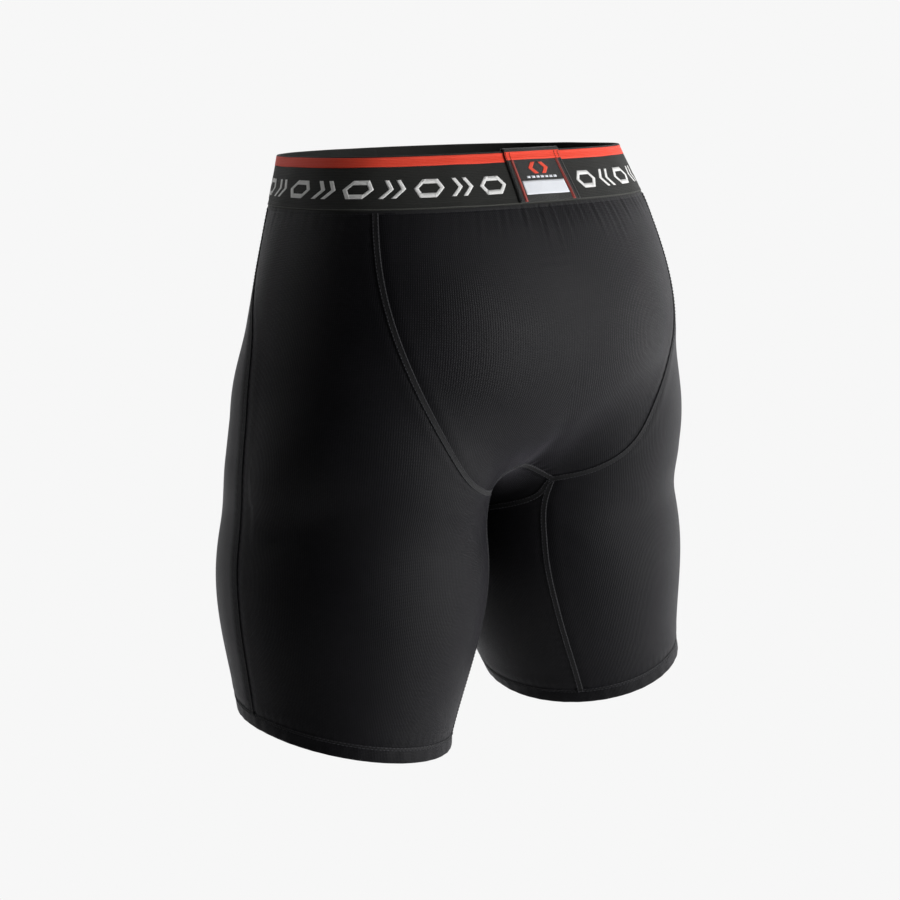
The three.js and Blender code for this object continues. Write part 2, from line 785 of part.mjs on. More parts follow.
const shorts = new THREE.Group();
shorts.name = 'padded_impact_shorts';

const materials = {
  knit: new THREE.MeshStandardMaterial({ color: 0x3a3a3e, roughness: 0.62, metalness: 0 }),
  elastic: new THREE.MeshStandardMaterial({ color: 0x1e1f1c, roughness: 0.8, metalness: 0 }),
  thread: new THREE.MeshStandardMaterial({ color: 0x1a1a1c, roughness: 0.75, metalness: 0 }),
  label: new THREE.MeshStandardMaterial({ color: 0x141414, roughness: 0.55, metalness: 0 }),
  foam: new THREE.MeshStandardMaterial({ color: 0x5a5e63, roughness: 0.9, metalness: 0 }),
  mesh: new THREE.MeshStandardMaterial({ color: 0x2b2c2f, roughness: 0.85, metalness: 0 }),
};

function addPiece(name, solid, material) {
  const piece = new THREE.Mesh(geometryOf(solid), materials[material].clone());
  piece.name = name;
  shorts.add(piece);
}

function addPair(name, solid, material) {
  addPiece(`${name}_left`, solid, material);
  addPiece(`${name}_right`, mirrored(solid), material);
}

const band = thicken(waistRing(0, BAND_END, 1), BAND_PROUD, BAND_PROUD - BAND_THICKNESS);
const waistSeam = thicken(
  waistRing(BAND_END + share(CLEARANCE), BAND_END + share(CLEARANCE + WAIST_SEAM_WIDTH), 1),
  SEAM_PROUD, -CLOTH - SEAM_PROUD,
);
addPiece('waistband_elastic', band, 'elastic');
addPiece('waist_seam', waistSeam, 'thread');
addPiece('back_label', labelSolid(), 'label');

addPiece('seat_panel', panel(seatSheet()), 'knit');
addPair('outer_leg_panel', panel(outerLegSheet()), 'knit');
addPair('front_leg_panel', panel(frontLegSheet()), 'knit');
addPiece('front_pouch', panel(pouchSheet(TOP, 0)), 'knit');
addPiece('crotch_gusset', panel(gussetSheet()), 'knit');
const liningFace = -CLOTH - PAD_STANDOFF;
const liningSheet = pouchSheet(TOP + share(LINING_INSET), LINING_INSET);
addPiece('pouch_lining', thicken(liningSheet, liningFace, liningFace - POCKET_CLOTH), 'mesh');

addPiece('seat_seam', seams.seat, 'thread');
addPair('front_seam', seams.front, 'thread');
addPair('inseam', seams.inseam, 'thread');
addPair('pouch_seam', seams.pouch, 'thread');
addPair('gusset_seam', seams.gusset, 'thread');
addPiece('gusset_front_seam', seams.gussetFront, 'thread');

const stitchStart = BOTTOM + share(HEM_CLEARANCE);
const hemStitch = legRing(stitchStart, stitchStart + share(HEM_STITCH_WIDTH), 1);
addPair('hem_stitch', thicken(hemStitch, SEAM_PROUD, -CLOTH - SEAM_PROUD), 'thread');
addPair('leg_hem', thicken(legRing(HEM_START, 1, 1), 0, -HEM_THICKNESS), 'knit');

addPair('hip_pad', padSolid(HIP_PAD), 'foam');
addPair('hip_pad_pocket', pocketSolid(HIP_PAD), 'mesh');
addPair('thigh_pad', padSolid(THIGH_PAD), 'foam');
addPair('thigh_pad_pocket', pocketSolid(THIGH_PAD), 'mesh');
addPiece('tailbone_pad', padSolid(TAILBONE_PAD), 'foam');
addPiece('tailbone_pad_pocket', pocketSolid(TAILBONE_PAD), 'mesh');

export default shorts;
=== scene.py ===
"""Padded impact shorts: the visual model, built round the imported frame.

Lengths are worked in millimetres on the worn body form and turned to metres when a mesh is made.
+Z is up, +X is the wearer's left, -Y is the wearer's front.
"""
import math

import bpy
import numpy as np
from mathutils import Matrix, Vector


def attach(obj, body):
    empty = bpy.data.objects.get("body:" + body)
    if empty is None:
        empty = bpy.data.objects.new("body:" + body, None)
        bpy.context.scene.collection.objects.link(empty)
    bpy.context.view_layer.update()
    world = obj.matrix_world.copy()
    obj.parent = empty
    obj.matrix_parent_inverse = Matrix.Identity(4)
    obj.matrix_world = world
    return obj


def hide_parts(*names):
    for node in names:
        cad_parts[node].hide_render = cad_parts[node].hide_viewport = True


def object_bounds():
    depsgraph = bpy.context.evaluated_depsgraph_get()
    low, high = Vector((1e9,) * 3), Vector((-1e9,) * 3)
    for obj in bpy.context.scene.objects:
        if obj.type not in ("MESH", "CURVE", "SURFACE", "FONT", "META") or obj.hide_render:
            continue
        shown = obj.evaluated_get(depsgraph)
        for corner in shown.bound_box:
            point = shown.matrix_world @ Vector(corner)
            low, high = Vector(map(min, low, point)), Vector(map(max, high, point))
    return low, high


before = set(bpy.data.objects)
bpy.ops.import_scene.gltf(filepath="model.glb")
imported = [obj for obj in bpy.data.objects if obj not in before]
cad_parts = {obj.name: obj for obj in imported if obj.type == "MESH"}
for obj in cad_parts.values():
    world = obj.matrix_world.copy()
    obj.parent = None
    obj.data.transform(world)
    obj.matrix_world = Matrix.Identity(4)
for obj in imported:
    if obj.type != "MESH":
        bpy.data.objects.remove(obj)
CAD_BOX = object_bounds()

MM = 0.001

# ---------------------------------------------------------------- driving sizes, as in the CAD

TORSO_DEPTH = [0, 50, 190, 270]
TORSO_HALF_WIDTH = [139, 158, 187, 186]
TORSO_FRONT = [110, 98, 105, 100]
TORSO_BACK = [75, 107, 108, 17]
TORSO_SQUARENESS = 2.3
TORSO_END = 242
TORSO_END_BLEND = 30
WAIST_TILT = math.radians(2)
WAIST_TILT_FADE = 0.4
PLANES_TURN = (0.25, 0.75)
LEG_TOP = np.array([84.0, -20.0, -200.0])
LEG_HEM = np.array([122.0, 11.0, -420.0])
LEG_RADIUS = [86, 102, 80]
LEG_FLATNESS = 0.97
LEG_CAP = 40
HEM_LEAN = np.array([0.036, -0.164, 0.0])
BUTTOCK_CENTRE = np.array([97.0, 33.0, -212.0])
BUTTOCK_RADII = np.array([79.0, 71.0, 63.0])
BLEND = 32

CLOTH = 1.2
BAND_HEIGHT = 34
BAND_THICKNESS = 2.0
BAND_PROUD = 0.6
WAIST_SEAM_WIDTH = 2.6
SEAM_WIDTH = 4.5
HEM_DEPTH = 9
HEM_THICKNESS = 2.2
HEM_STITCH_WIDTH = 3.0
LABEL_WIDTH = 54
LABEL_THICKNESS = 0.8
LABEL_RETURN = 14

PAD_THICKNESS = 5
PAD_RIM = 1.6
PAD_STANDOFF = 1.8
PAD_SLACK = 0.5
POCKET_CLOTH = 0.8
POCKET_MARGIN = 8

FRONT_SEAM = [[-40, 0], [-20, 0.17], [-3, 0.27], [3, 0.4], [3, 0.54], [-2, 0.65], [-2, 0.8], [-5, 1]]
SEAT_SEAM = [[46, 0], [54, 0.165], [64.5, 0.294], [77.5, 0.407], [90, 0.485], [104, 0.519], [122.5, 0.533]]
INSEAM = [[122.5, 0.533], [127, 0.575], [130.5, 0.65], [132.5, 0.78], [133, 1]]
POUCH_HALF_WIDTH = [[44, 0], [48, 0.16], [34, 0.34], [13, 0.51]]
GUSSET_BACK = 0.494
GUSSET_FRONT = 0.51
GUSSET_SIDE = [[-222, 0.575], [-190, 0.6], [-155, 0.58], [-143, 0.54]]

# ---------------------------------------------------------------- the body form


def smooth_curve(xs, ys, x):
    """Smooth curve through (xs, ys), straight at its ends."""
    xs, ys = np.asarray(xs, float), np.asarray(ys, float)
    gaps, slopes = np.diff(xs), np.diff(ys) / np.diff(xs)
    tangents = np.empty(len(xs))
    tangents[1:-1] = (slopes[:-1] * gaps[1:] + slopes[1:] * gaps[:-1]) / (gaps[1:] + gaps[:-1])
    tangents[0], tangents[-1] = slopes[0], slopes[-1]
    x = np.clip(x, xs[0], xs[-1])
    i = np.clip(np.searchsorted(xs, x, side="right") - 1, 0, len(xs) - 2)
    h = gaps[i]
    t = (x - xs[i]) / h
    t2, t3 = t * t, t * t * t
    return ((2 * t3 - 3 * t2 + 1) * ys[i] + (t3 - 2 * t2 + t) * h * tangents[i]
            + (3 * t2 - 2 * t3) * ys[i + 1] + (t3 - t2) * h * tangents[i + 1])


def smooth_step(x, low, high):
    """0 below low, 1 above high, and a soft rise between them."""
    t = np.clip((x - low) / (high - low), 0, 1)
    return t * t * (3 - 2 * t)


def smooth_min(a, b, blend):
    """The lesser of a and b, rounded over where they come within blend of each other."""
    h = np.clip(0.5 + 0.5 * (b - a) / blend, 0, 1)
    return b + (a - b) * h - blend * h * (1 - h)


LEG_LENGTH = np.linalg.norm(LEG_HEM - LEG_TOP)
LEG_AXIS = (LEG_HEM - LEG_TOP) / LEG_LENGTH


def body_field(p):
    """Below zero inside the body, zero on its skin. The body is the same on both sides."""
    x, y, depth = np.abs(p[..., 0]), p[..., 1], -p[..., 2]
    width = smooth_curve(TORSO_DEPTH, TORSO_HALF_WIDTH, depth)
    front = smooth_curve(TORSO_DEPTH, TORSO_FRONT, depth)
    back = smooth_curve(TORSO_DEPTH, TORSO_BACK, depth)
    reach = np.where(y < 0, front, back)
    q = TORSO_SQUARENESS
    rho = ((x / width) ** q + (np.abs(y) / reach) ** q + 1e-9) ** (1 / q)
    torso = -smooth_min(-(rho - 1) * np.sqrt(width * reach), TORSO_END - depth, TORSO_END_BLEND)
    rel = np.stack([x, y, p[..., 2]], -1) - LEG_TOP
    along = rel @ LEG_AXIS
    rel = rel - along[..., None] * LEG_AXIS
    radius = smooth_curve([0, LEG_LENGTH / 2, LEG_LENGTH], LEG_RADIUS, along)
    girth = np.sqrt((rel[..., 0] / LEG_FLATNESS) ** 2 + (rel[..., 1] * LEG_FLATNESS) ** 2
                    + rel[..., 2] ** 2)
    leg = -smooth_min(radius - girth, along + LEG_CAP, LEG_CAP)
    ball = (np.stack([x, y, p[..., 2]], -1) - BUTTOCK_CENTRE) / BUTTOCK_RADII
    buttock = (np.sqrt((ball ** 2).sum(-1) + 1e-9) - 1) * np.cbrt(BUTTOCK_RADII.prod())
    return smooth_min(smooth_min(torso, leg, BLEND), buttock, BLEND)


def outward(p):
    """Outward direction of the skin at p."""
    n = np.empty(p.shape)
    for axis in range(3):
        step = np.zeros(3)
        step[axis] = 0.5
        n[..., axis] = body_field(p + step) - body_field(p - step)
    n[..., 0] = np.where(np.abs(p[..., 0]) < 1e-6, 0, n[..., 0])
    return n / np.linalg.norm(n, axis=-1, keepdims=True)


def settle(p):
    """Moves points that are near the skin onto it."""
    middle = np.abs(p[..., 0]) < 1e-6
    for _ in range(4):
        n = outward(p)
        slope = body_field(p + n * 0.5) - body_field(p - n * 0.5)
        p = p - n * (body_field(p) / slope)[..., None]
    p[..., 0] = np.where(middle, 0, p[..., 0])
    return p


CENTRE_STOPS = [0, 0.45, 1]
CENTRES = np.array([[70, 0, 0], [LEG_TOP[0] - 2, LEG_TOP[1], LEG_TOP[2]], LEG_HEM])
PATH_LENGTH = np.linalg.norm(CENTRES[1] - CENTRES[0]) + np.linalg.norm(CENTRES[2] - CENTRES[1])


def share(mm):
    """A length down the garment as a share of its whole way from waist to hem."""
    return mm / PATH_LENGTH


def stations(v):
    """The cutting planes at shares v of the way down: centres, outward axes and back axes."""
    v = np.asarray(v, float)
    centre = np.stack([smooth_curve(CENTRE_STOPS, CENTRES[:, k], v) for k in range(3)], -1)
    turn = smooth_step(v, *PLANES_TURN)[..., None]
    lean = WAIST_TILT * np.clip(1 - v / WAIST_TILT_FADE, 0, 1)
    at_waist = np.stack([0 * v, np.sin(lean), -np.cos(lean)], -1)
    down = at_waist * (1 - turn) + (LEG_AXIS + HEM_LEAN) * turn
    down /= np.linalg.norm(down, axis=-1, keepdims=True)
    out = np.array([1.0, 0, 0]) - down * down[..., :1]
    out /= np.linalg.norm(out, axis=-1, keepdims=True)
    return centre, out, np.cross(out, down)


RAY_LENGTH = 260


def skin(angle, v):
    """The skin at angles (degrees) in the planes of shares v. Rays stop at the middle plane."""
    angle, v = np.broadcast_arrays(np.asarray(angle, float), np.asarray(v, float))
    centre, out, back = stations(v)
    turn = np.radians(angle)[..., None]
    ray = out * np.cos(turn) + back * np.sin(turn)
    inward = ray[..., 0] < -1e-9
    to_middle_plane = centre[..., 0] / np.where(inward, -ray[..., 0], 1)
    reach = np.where(inward, np.minimum(to_middle_plane, RAY_LENGTH), RAY_LENGTH)
    low, high = reach.copy(), reach.copy()
    inside = np.ones(reach.shape, bool)
    steps = 14
    for k in range(1, steps + 1):
        leaves = body_field(centre + ray * (reach * k / steps)[..., None]) > 0
        first = inside & leaves
        low = np.where(first, reach * (k - 1) / steps, low)
        high = np.where(first, reach * k / steps, high)
        inside &= ~leaves
    for _ in range(12):
        middle = (low + high) / 2
        leaves = body_field(centre + ray * middle[..., None]) > 0
        high = np.where(leaves, middle, high)
        low = np.where(leaves, low, middle)
    p = centre + ray * ((low + high) / 2)[..., None]
    p[..., 0] = np.where(np.abs(p[..., 0]) < 0.02, 0, p[..., 0])
    return p


def middle_point(v, b):
    """Where x = 0 cuts the planes of shares v, at distances b back of their centres."""
    centre, out, back = stations(v)
    a = -(centre[..., 0] + b * back[..., 0]) / out[..., 0]
    return a, centre + a[..., None] * out + b[..., None] * back


def rise(v, side):
    """(angle, point) where the planes of shares v meet the middle of the back (1) or front (-1)."""
    v = np.atleast_1d(np.asarray(v, float))
    reach = np.arange(-150.0, 151.0, 2.0)
    _, points = middle_point(v[:, None], np.broadcast_to(reach, (len(v), len(reach))))
    inside = body_field(points) < 0
    from_back = inside.shape[1] - 1 - np.argmax(inside[:, ::-1], axis=1)
    low = reach[from_back if side > 0 else np.argmax(inside, axis=1)]
    high = low + side * 2.0
    for _ in range(14):
        middle = (low + high) / 2
        within = body_field(middle_point(v, middle)[1]) < 0
        low = np.where(within, middle, low)
        high = np.where(within, high, middle)
    a, point = middle_point(v, low)
    point[:, 0] = 0
    angle = np.degrees(np.arctan2(low, a))
    angle = np.where(side * angle < 0, angle + side * 360, angle)
    return angle, point


def meets_middle(v):
    """Whether the plane of share v still cuts the body at x = 0."""
    reach = np.arange(-100.0, 101.0, 0.5)
    _, points = middle_point(np.full(len(reach), v), reach)
    return bool((body_field(points) < 0).any())


def find_crotch():
    """The share at which the two legs part."""
    low, high = 0.4, 0.7
    for _ in range(16):
        middle = (low + high) / 2
        if meets_middle(middle):
            low = middle
        else:
            high = middle
    return low


CROTCH = find_crotch()

# ---------------------------------------------------------------- seam routes


def route(stops):
    """A seam's angle as a smooth function of the share, through (angle, share) stops."""
    stops = np.asarray(stops, float)
    return lambda v: smooth_curve(stops[:, 1], stops[:, 0], v)


def even(points, spacing=None, count=None):
    """Points spaced evenly along a row of points."""
    points = np.asarray(points, float)
    run = np.concatenate([[0], np.cumsum(np.linalg.norm(np.diff(points, axis=0), axis=1))])
    count = count or max(2, int(run[-1] / spacing) + 1)
    at = np.linspace(0, run[-1], count)
    return np.stack([np.interp(at, run, points[:, k]) for k in range(points.shape[1])], -1)


def spline(stops, per_degree=1.8):
    """A route that may run level: (angle, share) by t from 0 to 1, even in length."""
    flat = np.array([[angle * per_degree, v * PATH_LENGTH] for angle, v in stops])
    ends = np.vstack([flat[:1], flat, flat[-1:]])
    t = np.linspace(0, 1, 40)[:-1, None]
    rows = []
    for i in range(len(flat) - 1):
        before, start, end, after = ends[i:i + 4]
        lead, trail = (end - before) / 2, (after - start) / 2
        rows.append((2 * start - 2 * end + lead + trail) * t ** 3
                    + (-3 * start + 3 * end - 2 * lead - trail) * t ** 2 + lead * t + start)
    table = even(np.vstack(rows + [flat[-1:]]), count=400) / [per_degree, PATH_LENGTH]
    places = np.linspace(0, 1, 400)
    return lambda t: np.stack([np.interp(t, places, table[:, k]) for k in (0, 1)], -1), table


CLOTH_GAP = 1
BAND_END = share(BAND_HEIGHT)
TOP = BAND_END + share(CLOTH_GAP)
HEM_START = 1 - share(HEM_DEPTH)
BOTTOM = HEM_START - share(CLOTH_GAP)

front_seam, inseam = route(FRONT_SEAM), route(INSEAM)
seat_seam, seat_table = spline(SEAT_SEAM)
pouch_half_width = route(POUCH_HALF_WIDTH)
inner_corner = np.array(SEAT_SEAM[-1])


def seat_t(v):
    """The t at which the seat seam passes share v."""
    return float(np.interp(v, seat_table[:, 1], np.linspace(0, 1, len(seat_table))))


def angle_across(v, x):
    """The angle at which the front of the skin is x to the side of the middle plane."""
    v = np.atleast_1d(np.asarray(v, float))
    low = rise(v, -1)[0]
    high = np.full(len(v), -60.0)
    for _ in range(18):
        middle = (low + high) / 2
        short = skin(middle, v)[..., 0] < x
        low = np.where(short, middle, low)
        high = np.where(short, high, middle)
    return low


def back_rise(v):
    return rise(v, 1)[0]


def pouch_seam(v):
    return angle_across(v, pouch_half_width(v))


heel, low_stop, inner_stop, toe = GUSSET_SIDE
front_corner = [float(pouch_seam(GUSSET_FRONT)[0]), GUSSET_FRONT]
gusset_ahead = route([front_corner, toe, inner_stop, low_stop])
gusset_behind = route([[inner_corner[0] - 360, inner_corner[1]], heel, low_stop])

# ---------------------------------------------------------------- how the cloth lies

# Creases: start, end, half width and height in millimetres. The two sides differ, as worn cloth's do.
CREASES = [
    ((-30, 72, -246), (-82, 98, -247), 3.2, 0.7),
    ((-42, 80, -257), (-104, 97, -262), 3.6, 0.8),
    ((40, 78, -253), (96, 101, -243), 4.5, 0.7),
    ((52, 88, -268), (110, 100, -262), 6.0, 0.5),
    ((30, 60, -262), (60, 92, -300), 7.0, 0.6),
    ((-30, 62, -268), (-62, 92, -300), 7.0, 0.5),
    ((36, 110, -53), (-4, 111, -54), 1.7, 0.42),
    ((32, 113, -60), (-12, 114, -61), 1.7, 0.5),
    ((38, 115, -67), (-2, 116, -68), 1.8, 0.46),
    ((30, 117, -74), (-10, 118, -75), 1.8, 0.4),
    ((-3, 108, -172), (-13, 62, -233), 10.0, -4.0),
    ((24, -98, -236), (70, -112, -222), 7.0, 0.9),
    ((-24, -98, -236), (-70, -112, -222), 7.0, 0.8),
    ((30, -92, -250), (84, -112, -252), 8.0, 0.7),
    ((-30, -92, -250), (-80, -112, -256), 8.0, 0.7),
]

# Fuller places: centre, spread and height.
SWELLS = [
    ((-165, 47, -243), (50, 50, 27), 4.6),
    ((30, 94, -203), (30, 40, 24), 3.0),
]


def crease(p, start, end, half_width, height):
    """A soft ridge from start to end that fades at both ends."""
    start, end = np.array(start, float), np.array(end, float)
    run = end - start
    t = ((p - start) @ run) / (run @ run)
    away = np.linalg.norm(p - (start + np.clip(t, 0, 1)[..., None] * run), axis=-1)
    fade = np.clip(np.sin(np.pi * np.clip(t, 0, 1)), 0, 1) ** 0.7
    ridge = np.exp(-(away / half_width) ** 2)
    hollows = 0.5 * np.exp(-(away / (2.1 * half_width)) ** 2)
    return height * fade * (ridge - hollows)


def gathers(round_waist, drop):
    """Small pleats under the waist seam, fullest below the label and at the right hip."""
    full = (0.12 + 0.88 * np.exp(-(round_waist / 46) ** 2)
            + 0.3 * np.exp(-((round_waist + 95) / 40) ** 2))
    pleats = (0.62 * np.sin(round_waist * 2 * np.pi / 6.1 + 1.4 * np.sin(round_waist / 17))
              + 0.38 * np.sin(round_waist * 2 * np.pi / 9.7 + 0.8)
              + 0.25 * np.sin(round_waist * 2 * np.pi / 4.3))
    length = 15 + 6 * np.sin(round_waist / 11 + 1)
    fade = np.exp(-np.clip(drop - 3, 0, None) ** 2 / length ** 2)
    return 0.75 * full * pleats * smooth_step(drop, -3, 5) * fade


WAIST_RADIUS = 118


def relief(p):
    """How far the cloth stands off the body form at p, in millimetres."""
    x, y, z = p[..., 0], p[..., 1], p[..., 2]
    drop = -z - BAND_HEIGHT
    drape = (0.35 * np.sin(x / 31 + z / 43 + 0.6) * np.sin(z / 37 - y / 52)
             + 0.22 * np.sin(x / 17 - z / 61 + y / 23 + 2.1))
    drape = drape * smooth_step(drop, 0, 50)
    total = gathers(np.arctan2(x, y) * WAIST_RADIUS, drop) + drape
    for stops in CREASES:
        total = total + crease(p, *stops)
    for centre, spread, height in SWELLS:
        total = total + height * np.exp(-(((p - np.array(centre)) / np.array(spread)) ** 2).sum(-1))
    return total


# ---------------------------------------------------------------- meshes


def run_length(p, axis):
    """Length along the rows or columns of a grid of points."""
    steps = np.linalg.norm(np.diff(p, axis=axis), axis=-1)
    start = np.zeros_like(np.take(steps, [0], axis=axis))
    return np.concatenate([start, np.cumsum(steps, axis=axis)], axis=axis)


def puckers(p, sides):
    """The cloth drawn down beside its seams, with small puckers, for the named sides of a grid."""
    across, down = run_length(p, 1), run_length(p, 0)
    total = np.zeros(p.shape[:2])
    for side in sides:
        if side in ("left", "right"):
            away = across if side == "left" else across[:, -1:] - across
            along = down[:, :1] if side == "left" else down[:, -1:]
        else:
            away = down if side == "top" else down[-1:] - down
            along = across[:1] if side == "top" else across[-1:]
        ripple = (np.sin(along * 2 * np.pi / 6.3 + 1.7 * np.sin(along / 13))
                  + 0.5 * np.sin(along * 2 * np.pi / 3.9))
        total += -0.45 * np.exp(-(away / 4.0) ** 2) + 0.16 * ripple * np.exp(-((away - 4.5) / 4.0) ** 2)
        total += 0.22 * np.exp(-((away - 8) / 5.0) ** 2)
    return total


WELDS_PER_MM = 40


class Piece:
    """Collects grids on the skin and makes one closed mesh between their two faces."""

    def __init__(self, name):
        self.name = name
        self.blocks = []
        self.loose = []

    def grid(self, p, uv, outer, inner, side=1, lie=True):
        """p: rows of skin points on the wearer's left. outer, inner: offsets of the two faces."""
        n = outward(p)
        flip = np.array([side, 1.0, 1.0])
        i, j = max(p.shape[0] // 2, 1), max(p.shape[1] // 2, 1)
        facing = np.cross(p[i, j] - p[i - 1, j], p[i, j] - p[i, j - 1]) @ n[i, j] > 0
        p, n = p * flip, n * flip
        stand = relief(p) if lie else 0
        shape = p.shape[:2]
        outer = np.broadcast_to(outer, shape) + stand
        inner = np.broadcast_to(inner, shape) + stand
        self.blocks.append((p, n, uv, outer, inner, facing == (side > 0)))
        return self

    def mesh(self):
        """Welds the grids where they meet, and closes the two faces with a wall round every edge."""
        keys = np.concatenate([np.round(b[0].reshape(-1, 3) * WELDS_PER_MM).astype(np.int64)
                               for b in self.blocks])
        _, first, ids = np.unique(keys, axis=0, return_index=True, return_inverse=True)
        ids = ids.reshape(-1)

        def welded(k):
            return np.concatenate([b[k].reshape((-1,) + b[k].shape[2:]) for b in self.blocks])[first]

        base, normal, outer, inner = (welded(k) for k in (0, 1, 3, 4))
        count = len(first)
        vertices = np.concatenate([base + normal * outer[:, None], base + normal * inner[:, None]])
        faces, uvs, at = [], [], 0
        for p, _, uv, _, _, facing in self.blocks:
            rows, columns = p.shape[:2]
            index = ids[at:at + rows * columns].reshape(rows, columns)
            at += rows * columns
            corners = [(slice(None, -1), slice(None, -1)), (slice(1, None), slice(None, -1)),
                       (slice(1, None), slice(1, None)), (slice(None, -1), slice(1, None))]
            corners = corners if facing else [corners[k] for k in (0, 3, 2, 1)]
            faces.append(np.stack([index[c] for c in corners], -1).reshape(-1, 4))
            uvs.append(np.stack([uv[c] for c in corners], -2).reshape(-1, 4, 2))
        faces, uvs = np.concatenate(faces), np.concatenate(uvs)
        starts, ends = faces.reshape(-1), np.roll(faces, -1, axis=1).reshape(-1)
        uv_from, uv_to = uvs.reshape(-1, 2), np.roll(uvs, -1, axis=1).reshape(-1, 2)
        real = starts != ends
        code = starts * (2 * count) + ends
        back_code = ends * (2 * count) + starts
        edge = real & ~np.isin(code, back_code[real])
        walls = np.stack([starts[edge], starts[edge] + count, ends[edge] + count, ends[edge]], -1)
        wall_uvs = np.stack([uv_from[edge], uv_from[edge], uv_to[edge], uv_to[edge]], 1)
        all_faces = np.concatenate([faces, faces[:, ::-1] + count, walls])
        all_uvs = np.concatenate([uvs, uvs[:, ::-1], wall_uvs])
        face_list, uv_list = [], []
        whole = (all_faces != np.roll(all_faces, -1, axis=1)).all(1)
        for corners, places in zip(all_faces[~whole], all_uvs[~whole]):
            keep = [k for k in range(4) if corners[k] != corners[k - 1]]
            if len(keep) > 2:
                face_list.append(corners[keep].tolist())
                uv_list.extend(places[keep].tolist())
        face_list = all_faces[whole].tolist() + face_list
        uv_list = all_uvs[whole].reshape(-1, 2).tolist() + uv_list
        sewn = len(face_list)
        for points, more in self.loose:
            start = len(vertices)
            vertices = np.concatenate([vertices, points])
            face_list += (more + start).tolist()
            uv_list += [[0.0, 0.0]] * more.size
        piece = make_mesh("worn_" + self.name, vertices, face_list, uv_list)
        if self.loose:
            index = (np.arange(len(face_list)) >= sewn).astype(np.int32)
            piece.data.polygons.foreach_set("material_index", index)
        return piece


def make_mesh(name, vertices, faces, uvs=None):
    """A smooth-shaded mesh from points in millimetres."""
    mesh = bpy.data.meshes.new(name)
    mesh.from_pydata((np.asarray(vertices) * MM).tolist(), [], faces)
    if uvs is not None:
        layer = mesh.uv_layers.new(name="cloth_mm")
        layer.data.foreach_set("uv", np.asarray(uvs, float).reshape(-1))
    mesh.shade_smooth()
    piece = bpy.data.objects.new(name, mesh)
    bpy.context.scene.collection.objects.link(piece)
    return piece


def stitches(path, across, normal, offset, lift, pitch, length, radius, slant=0.0):
    """Short rounded stitches along a path: (points, faces) of small six-sided bars."""
    run = np.concatenate([[0], np.cumsum(np.linalg.norm(np.diff(path, axis=0), axis=1))])
    at = np.arange(pitch / 2, run[-1], pitch)
    if not len(at):
        return np.zeros((0, 3)), np.zeros((0, 4), int)
    pick = [np.stack([np.interp(at, run, a[:, k]) for k in range(3)], -1) for a in (path, across, normal)]
    ahead = np.stack([np.interp(at + 0.3, run, path[:, k]) - np.interp(at - 0.3, run, path[:, k])
                      for k in range(3)], -1)
    ahead /= np.linalg.norm(ahead, axis=1, keepdims=True)
    sway = np.where(np.arange(len(at)) % 2, slant, -slant)
    direction = ahead + pick[1] * np.tan(sway)[:, None]
    direction /= np.linalg.norm(direction, axis=1, keepdims=True)
    centre = pick[0] + pick[1] * offset + pick[2] * lift
    sides = 6
    turns = np.arange(sides) * 2 * np.pi / sides
    beside = np.cross(pick[2], direction)
    profile = [(-0.5, 0.35), (-0.32, 0.9), (0, 1.0), (0.32, 0.9), (0.5, 0.35)]
    rings = []
    for place, size in profile:
        sink = pick[2] * (-2.4 * radius * place ** 2)
        middle = centre + direction * (place * length) + sink
        ring = (middle[:, None] + beside[:, None] * (np.cos(turns) * radius * size)[None, :, None]
                + pick[2][:, None] * (np.sin(turns) * radius * size)[None, :, None])
        rings.append(ring)
    points = np.stack(rings, 1)
    count = len(profile) * sides
    local = []
    for i in range(len(profile) - 1):
        for k in range(sides):
            a, b = i * sides + k, i * sides + (k + 1) % sides
            local.append([a, b, b + sides, a + sides])
    last = (len(profile) - 1) * sides
    local += [[3, 2, 1, 0], [0, 5, 4, 3], [last, last + 1, last + 2, last + 3],
              [last + 3, last + 4, last + 5, last]]
    faces = (np.arange(len(at))[:, None, None] * count + np.array(local)[None]).reshape(-1, 4)
    return points.reshape(-1, 3), faces


def ruled(v0, v1, a0, a1, rows, columns):
    """A grid of skin points, from angles a0(v) to a1(v), with its cloth coordinates."""
    v = np.linspace(v0, v1, rows + 1)
    part = np.linspace(0, 1, columns + 1)
    angle = a0(v)[:, None] * (1 - part) + a1(v)[:, None] * part
    return on_skin(angle, np.broadcast_to(v[:, None], angle.shape))


LEG_REACH = 98


def on_skin(angle, v):
    """Skin points with cloth coordinates in millimetres: round the leg, and down it."""
    return skin(angle, v), np.stack([angle * np.pi / 180 * LEG_REACH, -v * PATH_LENGTH], -1)


def patch(left, right, top, bottom, rows, columns):
    """A four-sided grid between boundary routes, each giving (angle, share) from 0 to 1."""
    down, across = np.linspace(0, 1, rows + 1), np.linspace(0, 1, columns + 1)
    first, last = left(down)[:, None], right(down)[:, None]
    upper, lower = top(across)[None], bottom(across)[None]
    t, s = down[:, None, None], across[None, :, None]
    corner = ((1 - s) * ((1 - t) * first[0, 0] + t * first[-1, 0])
              + s * ((1 - t) * last[0, 0] + t * last[-1, 0]))
    place = (1 - s) * first + s * last + (1 - t) * upper + t * lower - corner
    return on_skin(place[..., 0], place[..., 1])


def line(start, end):
    """A straight boundary from one (angle, share) to another."""
    start, end = np.array(start, float), np.array(end, float)
    return lambda t: start + (end - start) * np.asarray(t, float)[..., None]


def on_route(angle_at, start, end):
    """A boundary along a seam's route, from one share to another."""
    def place(t):
        v = start + (end - start) * np.asarray(t, float)
        return np.stack([angle_at(v), v], -1)
    return place


def on_seat_seam(start):
    """A boundary along the seat seam, from a share to its inner corner."""
    t0 = seat_t(start)
    return lambda t: seat_seam(t0 + (1 - t0) * np.asarray(t, float))


